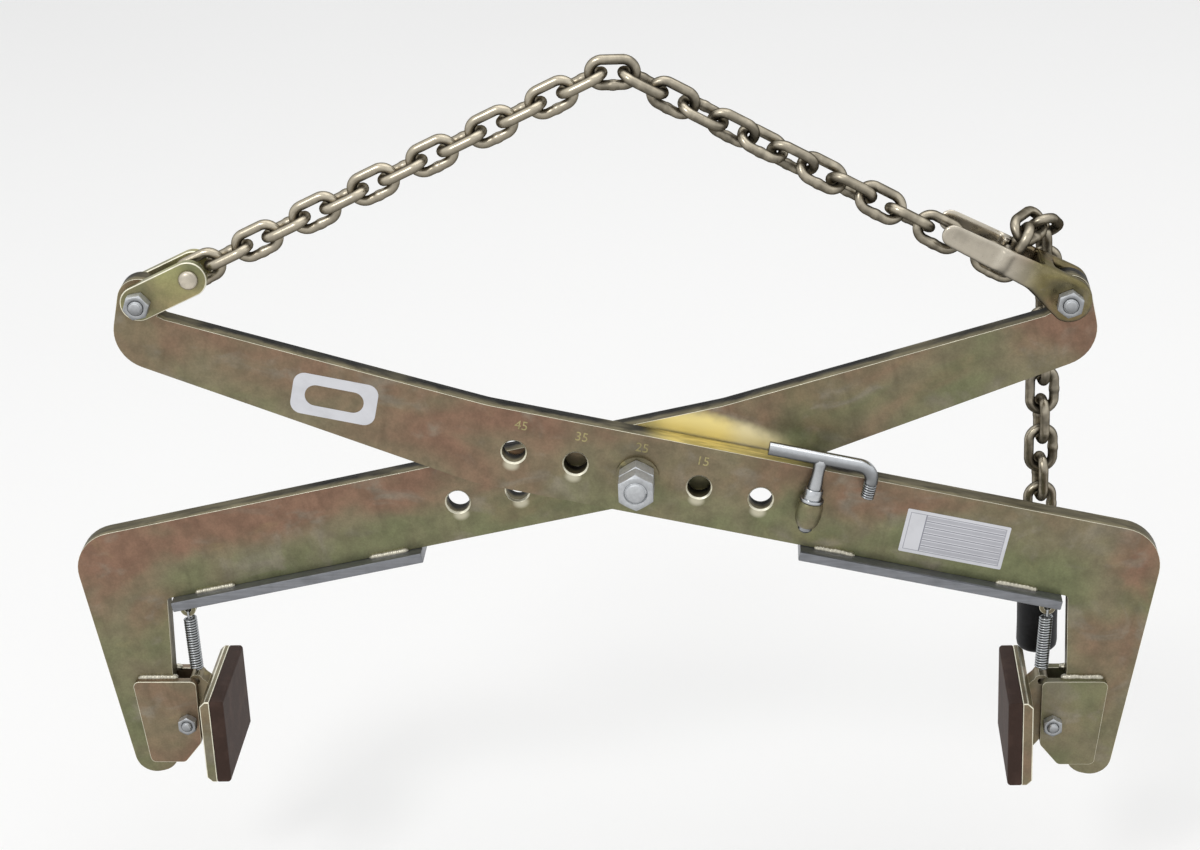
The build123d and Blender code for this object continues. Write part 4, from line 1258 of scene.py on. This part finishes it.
class CLAMP_OT_fasteners(bpy.types.Operator):
    """Bolts with chamfered heads and threaded ends, and their nuts"""

    bl_idname = "clamp.fasteners"
    bl_label = "Bolts and nuts"

    # Heights and bore as shares of the width across flats, and slack round the CAD hexagon
    nut_height = 0.56
    nut_bore = 0.31
    head_height = 0.40
    slack = 1e-5
    # Thread: its depth and the ridge's seat as shares of the pitch, longest run and run out
    depth_share = 0.45
    seat_share = 0.08
    longest = 12.0 * MM
    run_out = 0.5 * MM
    # How far the shank runs on into the head
    into_head = 0.3 * MM

    def row(self, node, near, far, across, tall, side):
        """Place, turn and size of a hexagon that fills a CAD one; side is 1 towards the viewer."""
        middle, corner = hexagon_of(node, near - self.slack, far + self.slack)
        upright = Matrix.Rotation(side * math.pi / 2, 4, "X")
        turn = upright @ Matrix.Rotation(side * corner + math.pi / 6, 4, "Z")
        seat = Vector((middle.x, far if side > 0.0 else near, middle.z))
        return seat, turn.to_euler(), (across * MM, across * MM, (far - near) / tall)

    def shank(self, bolt, seat, low, shank, pitch, material):
        """The bolt's shank with the ridge of its thread."""
        radius = shank * MM / 2
        core = radius - self.depth_share * pitch * MM
        point = core * 0.14
        lead = core * 0.2
        length = seat.y - low.y
        thread = min(length * 0.5, self.longest)
        top = length + self.into_head
        profile = [(0.0, 0.0), (core - point, 0.0), (core, point), (core, thread),
                   (radius, thread + self.run_out), (radius, top), (0.0, top)]
        place = Matrix.Translation((seat.x, low.y, seat.z)) @ Matrix.Rotation(-math.pi / 2, 4, "X")
        ridge = ridge_mesh(bolt + "_ridge", core + self.seat_share * pitch * MM, pitch * MM,
                           thread - lead, place @ Matrix.Translation((0.0, 0.0, lead)), material)
        return [lathe(bolt + "_shank", profile, place, 32), ridge]

    def execute(self, context):
        looks = finishes(context)
        nut = hex_shape("hex_nut_shape", self.nut_height, self.nut_bore)
        head = hex_shape("bolt_head_shape", self.head_height, 0.0)
        for body in ("front_arm", "rear_arm"):
            heads = []
            nuts = []
            parts = []
            hidden = []
            for name, across, head_height, shank, pitch in BOLTS:
                bolt = name + "_bolt"
                if BODY_OF[bolt] != body:
                    continue
                low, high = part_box(bolt)
                heads.append(self.row(bolt, high.y - head_height * MM, high.y, across,
                                      self.head_height, -1.0))
                hidden.append(bolt)
                for node in [name + "_nut"] + (["pivot_lock_nut"] if name == "pivot" else []):
                    near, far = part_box(node)
                    nuts.append(self.row(node, near.y, far.y, across, self.nut_height, 1.0))
                    hidden.append(node)
                parts += self.shank(bolt, heads[-1][0], low, shank, pitch, looks.dull_zinc)
            for label, shape, rows in ((body + "_heads", head, heads), (body + "_nuts", nut, nuts)):
                parts.append(mesh_only(node_piece(label, point_mesh(label, rows), "copies", part=shape,
                                                  material=looks.dull_zinc)))
            name = body + "_fasteners"
            # Painted shade: darker on the faces that look down, half as dark near the pivot
            mesh = paint_shade_below(joined(name, parts, looks.dull_zinc), 0.8, 0.62, half_shade_at=PIVOT)
            settle(put_object(name, mesh), body, "bright_zinc", *hidden)
        bpy.data.objects.remove(nut)
        bpy.data.objects.remove(head)
        return {"FINISHED"}


class CLAMP_OT_latch(bpy.types.Operator):
    """Latch: welded sleeve, stem with its collar, and the bent rod with a threaded end"""

    bl_idname = "clamp.latch"
    bl_label = "Latch"

    def rod(self, own, material):
        """The bent rod: a bar along u, a quarter bend, and the threaded tip."""
        reach = 29.5
        top = 34.5
        bend = 8.0
        tip = 16.0
        radius = 3.8
        root = radius - 0.75
        ridge_seat = root + 0.22
        pitch = 1.4
        thread = 9.2
        chamfer = 0.5
        lead = 0.6
        overlap = 0.2
        shoulder = thread + lead
        start = LATCH_U - reach
        end = LATCH_U + reach
        run = [(start, top), (start + 0.6, top)] + [(start + step * 8.0, top) for step in range(1, 6)]
        for step in range(11):
            angle = math.pi / 2 * step / 10
            run.append((end - bend + bend * math.sin(angle), top - bend + bend * math.cos(angle)))
        run.append((end, tip + shoulder - overlap))
        points = [own @ Vector((u, LATCH_Y, v)) for u, v in run]
        core = [(0.0, 0.0), (root - chamfer, 0.0), (root, chamfer), (root, thread),
                (radius, shoulder), (0.0, shoulder)]
        place = own @ Matrix.Translation((end, LATCH_Y, tip))
        raised = own @ Matrix.Translation((end, LATCH_Y, tip + lead)) @ Matrix.Scale(1.0 / MM, 4)
        ridge = ridge_mesh("latch_ridge", ridge_seat * MM, pitch * MM, (thread - lead - overlap) * MM,
                           raised, material)
        return [tube("latch_rod_bar", points, radius * MM, "POLY", 6),
                lathe("latch_rod_core", core, place, 32), ridge]

    def execute(self, context):
        looks = finishes(context)
        own = arm_frame("front")
        mesh = joined("latch_rod_bent", self.rod(own, looks.zinc), looks.zinc)
        # Painted shade: the rod darker on its faces that look down
        paint_shade_below(mesh, 0.86, 0.64, 0.72)
        settle(put_object("latch_rod_bent", mesh), "latch", "bright_zinc", "latch_rod")
        axis = own @ Matrix.Translation((LATCH_U, LATCH_Y, 0.0))
        collar = [(4.0, 8.0), (6.4, 8.0), (6.7, 8.4), (6.7, 9.4), (6.4, 9.8), (5.2, 9.9), (5.2, 15.2),
                  (4.8, 15.8), (4.0, 16.0), (4.0, 8.0)]
        stem = [(0.0, -11.0), (2.6, -11.0), (4.0, -9.6), (4.0, 14.7), (3.8, 19.5), (3.4, 24.0),
                (3.4, 28.0), (3.9, 31.5), (3.9, 34.0), (0.0, 34.0)]
        meshes = [lathe("latch_collar_ring", collar, axis, 36), lathe("latch_stem_pin", stem, axis, 32)]
        # Painted shade: the stem darker below and on its faces that look left or right
        pin = paint_shade_below(joined("latch_stem_collar", meshes, looks.zinc), 0.9, sides=0.95)
        settle(put_object("latch_stem_collar", pin), "latch", "bright_zinc", "latch_stem", "latch_collar")
        shell = [(4.15, -7.4), (5.0, -7.4), (6.0, -6.2), (6.9, -3.6), (7.25, -0.6), (7.25, 4.6),
                 (6.9, 6.6), (6.3, 7.7), (4.5, 7.8), (4.15, 7.5), (4.15, -7.4)]
        mesh = lathe("latch_sleeve_tube", shell, axis, 40)
        mesh.materials.append(looks.small_plate)
        settle(put_object("latch_sleeve_tube", mesh), "front_arm", "yellow_zinc", "latch_sleeve")
        return {"FINISHED"}


class CLAMP_OT_pads(bpy.types.Operator):
    """Pad plates with their ears, and the rubber faces"""

    bl_idname = "clamp.pads"
    bl_label = "Pads"

    def execute(self, context):
        looks = finishes(context)
        width = context.scene.clamp_sizes.edge_width
        plating = [looks.small_plate, looks.rubbed_edge_highlight]
        for hand in ("right", "left"):
            rounded(hand + "_pad_ear", "yellow_zinc", plating, width * 0.45)
            rounded(hand + "_pad_plate", "yellow_zinc", plating, width * 0.45)
            rounded(hand + "_pad_rubber", "pad_rubber", [looks.rubber], width * 1.1, 3)
        return {"FINISHED"}


class CLAMP_OT_springs(bpy.types.Operator):
    """Close wound pad springs, hooked through the lug under the bar and pinned in the pad's ear"""

    bl_idname = "clamp.springs"
    bl_label = "Pad springs"

    def course(self, length, sizes):
        """The wire's course from the pad's tab up: pin, run out to the coils, coils and hook."""
        radius = sizes.spring_radius
        pitch = sizes.spring_pitch
        wound = sizes.spring_coils * pitch
        low = (length - wound) / 2 - 0.4 * MM
        per_turn = 16
        widening = 5
        run = [(0.0, 0.0, rise) for rise in (1.0 * MM, 3.0 * MM, 5.0 * MM, low - 1.7 * MM)]
        for step in range(widening):
            share = step / widening
            angle = -math.pi * 0.75 * (1.0 - share)
            grow = radius * share * share * (3.0 - 2.0 * share)
            run.append((grow * math.cos(angle), grow * math.sin(angle), low - 1.2 * MM * (1.0 - share)))
        for step in range(sizes.spring_coils * per_turn + per_turn // 4 + 1):
            angle = 2.0 * math.pi * step / per_turn
            run.append((radius * math.cos(angle), radius * math.sin(angle),
                        low + pitch * step / per_turn))
        hook = 3.5 * MM
        seat = length - 1.1 * MM
        top = low + wound
        run += [(-1.2 * MM, hook - 0.2 * MM, top + pitch * 0.5 + 0.4 * MM),
                (-0.8 * MM, hook, top + 3.0 * MM), (0.0, hook, seat - 3.0 * MM)]
        bend = [(hook, -0.8 * MM), (hook - 0.2 * MM, 0.0), (hook - 1.2 * MM, 0.1 * MM)]
        run += [(0.0, across, seat + rise) for across, rise in bend] + [(0.0, 0.0, seat)]
        run += [(0.0, -across, seat + rise) for across, rise in reversed(bend)]
        return run + [(0.0, -hook, seat - 2.8 * MM), (0.0, -hook, seat - 4.0 * MM)]

    def execute(self, context):
        looks = finishes(context)
        sizes = context.scene.clamp_sizes
        for hand, arm, side in (("right", "front", 1.0), ("left", "rear", -1.0)):
            lug = arm_frame(arm) @ Vector((ANCHOR_U, PLATE_MIDDLE, ANCHOR_V))
            tab = HINGES[hand + "_pad_swivel"] + Vector((-side * SPRING_TAB[0], 0.0, SPRING_TAB[1])) * MM
            up = (lug - tab).normalized()
            length = (lug - tab).length
            across = Vector((0.0, 1.0, 0.0))
            sideways = across.cross(up)
            points = [tab + sideways * x + across * y + up * z for x, y, z in self.course(length, sizes)]
            mesh = tube(hand + "_spring_coil", points, sizes.spring_wire / 2, "NURBS", 2)
            # Painted shade: the wire darker on its faces that look down
            paint_shade_below(mesh, 0.9)
            mesh.materials.append(looks.spring)
            piece = put_object(hand + "_spring_coil", mesh)
            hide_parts(hand + "_pad_spring")
            tab - up * length * 0.3
            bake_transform(piece)
        return {"FINISHED"}


class CLAMP_OT_stage(bpy.types.Operator):
    """Pale floor, soft studio light and the camera"""

    bl_idname = "clamp.stage"
    bl_label = "Stage"

    def floor(self, ground, colour):
        wide = 14.0
        mesh = bpy.data.meshes.new("floor")
        mesh.from_pydata([(-wide, -wide, ground), (wide, -wide, ground), (wide, wide, ground),
                          (-wide, wide, ground)], [], [(0, 1, 2, 3)])
        material = bpy.data.materials.new("Pale floor")
        material.use_nodes = True
        net = Net(material.node_tree)
        shader = material.node_tree.nodes["Principled BSDF"].inputs
        cloud = net.noise(net.out("ShaderNodeTexCoord", output="Object"), 3.0, 2.0, 0.5)
        paler = [min(1.0, channel * 1.02) for channel in colour[:3]] + [1.0]
        net.put(shader["Base Color"], net.mix(cloud, colour, paler))
        net.put(shader["Roughness"], 0.85)
        net.put(shader["Specular IOR Level"], 0.15)
        mesh.materials.append(material)
        floor = put_object("floor", mesh)

    def sky(self, scene, strength):
        """Even light from all round; the sky shows at full strength where it is seen or mirrored."""
        world = bpy.data.worlds.new("Studio")
        scene.world = world
        world.use_nodes = True
        net = Net(world.node_tree)
        sky = world.node_tree.nodes["Background"].inputs
        sky["Color"].default_value = (0.97, 0.985, 1.0, 1.0)
        path = net.signals(net.node("ShaderNodeLightPath"))
        seen = path["Is Camera Ray"].most(path["Is Glossy Ray"]).most(path["Is Transmission Ray"])
        net.put(sky["Strength"], seen.fade(0.0, 1.0, strength, 1.0))

    def lamp(self, name, place, size, power):
        light = bpy.data.lights.new(name, "AREA")
        light.shape = "SQUARE"
        light.size = size
        light.energy = power
        holder = put_object(name, light)
        holder.location = place
        middle = Vector((0.0, 0.0, -0.2))
        holder.rotation_euler = (middle - Vector(place)).to_track_quat("-Z", "Y").to_euler()

    def camera(self, scene, lens):
        camera = bpy.data.cameras.new("photo_camera")
        camera.lens = lens
        camera.sensor_width = 36.0
        camera.sensor_fit = "HORIZONTAL"
        camera.clip_start = 0.05
        camera.clip_end = 60.0
        place = Vector((84.448, -1407.6, 411.592)) * MM
        aim = Vector((-15.452, 0.0, -207.008)) * MM
        upright = Vector((0.04374, 0.0, 0.99904))
        ahead = (aim - place).normalized()
        right = ahead.cross(upright).normalized()
        turn = Matrix((right, right.cross(ahead), -ahead)).transposed().to_4x4()
        holder = put_object("photo_camera", camera)
        holder.matrix_world = Matrix.Translation(place) @ turn
        scene.camera = holder

    def execute(self, context):
        scene = context.scene
        stage = scene.clamp_stage
        scene.view_settings.view_transform = "Standard"
        self.floor(CAD_BOX[0].z - stage.drop, stage.floor_colour)
        self.sky(scene, stage.sky)
        self.lamp("key", (-1.3, -1.9, 1.7), 0.7, stage.key)
        self.lamp("top", (0.3, 0.4, 2.2), 2.4, stage.top)
        self.camera(scene, stage.lens)
        return {"FINISHED"}


OPERATORS = (CLAMP_OT_stage, CLAMP_OT_arms, CLAMP_OT_welds, CLAMP_OT_marks, CLAMP_OT_chain,
             CLAMP_OT_sleeve, CLAMP_OT_sling_ends, CLAMP_OT_fasteners, CLAMP_OT_latch,
             CLAMP_OT_pads, CLAMP_OT_springs)


class CLAMP_PT_panel(bpy.types.Panel):
    """Lists the clamp's pieces and settings"""

    bl_idname = "CLAMP_PT_panel"
    bl_label = "Stone Clamp"
    bl_space_type = "VIEW_3D"
    bl_region_type = "UI"
    bl_category = "Stone Clamp"

    def draw(self, context):
        layout = self.layout
        for operator in OPERATORS:
            layout.operator(operator.bl_idname)
        for label in ("clamp_finish", "clamp_sizes", "clamp_stage"):
            group = getattr(context.scene, label)
            box = layout.box()
            for key in group.bl_rna.properties.keys():
                if key not in ("rna_type", "name"):
                    box.prop(group, key)


GROUPS = (ClampFinish, ClampSizes, ClampStage)
CLASSES = GROUPS + OPERATORS + (CLAMP_PT_panel,)


def register():
    for item in CLASSES:
        bpy.utils.register_class(item)
    bpy.types.Scene.clamp_finish = bpy.props.PointerProperty(type=ClampFinish)
    bpy.types.Scene.clamp_sizes = bpy.props.PointerProperty(type=ClampSizes)
    bpy.types.Scene.clamp_stage = bpy.props.PointerProperty(type=ClampStage)


def unregister():
    del bpy.types.Scene.clamp_stage
    del bpy.types.Scene.clamp_sizes
    del bpy.types.Scene.clamp_finish
    for item in reversed(CLASSES):
        bpy.utils.unregister_class(item)


def main():
    register()
    bpy.ops.clamp.stage()
    bpy.ops.clamp.arms()
    bpy.ops.clamp.welds()
    bpy.ops.clamp.marks()
    bpy.ops.clamp.chain()
    bpy.ops.clamp.sleeve()
    bpy.ops.clamp.sling_ends()
    bpy.ops.clamp.fasteners()
    bpy.ops.clamp.latch()
    bpy.ops.clamp.pads()
    bpy.ops.clamp.springs()


if __name__ == "__main__":
    main()
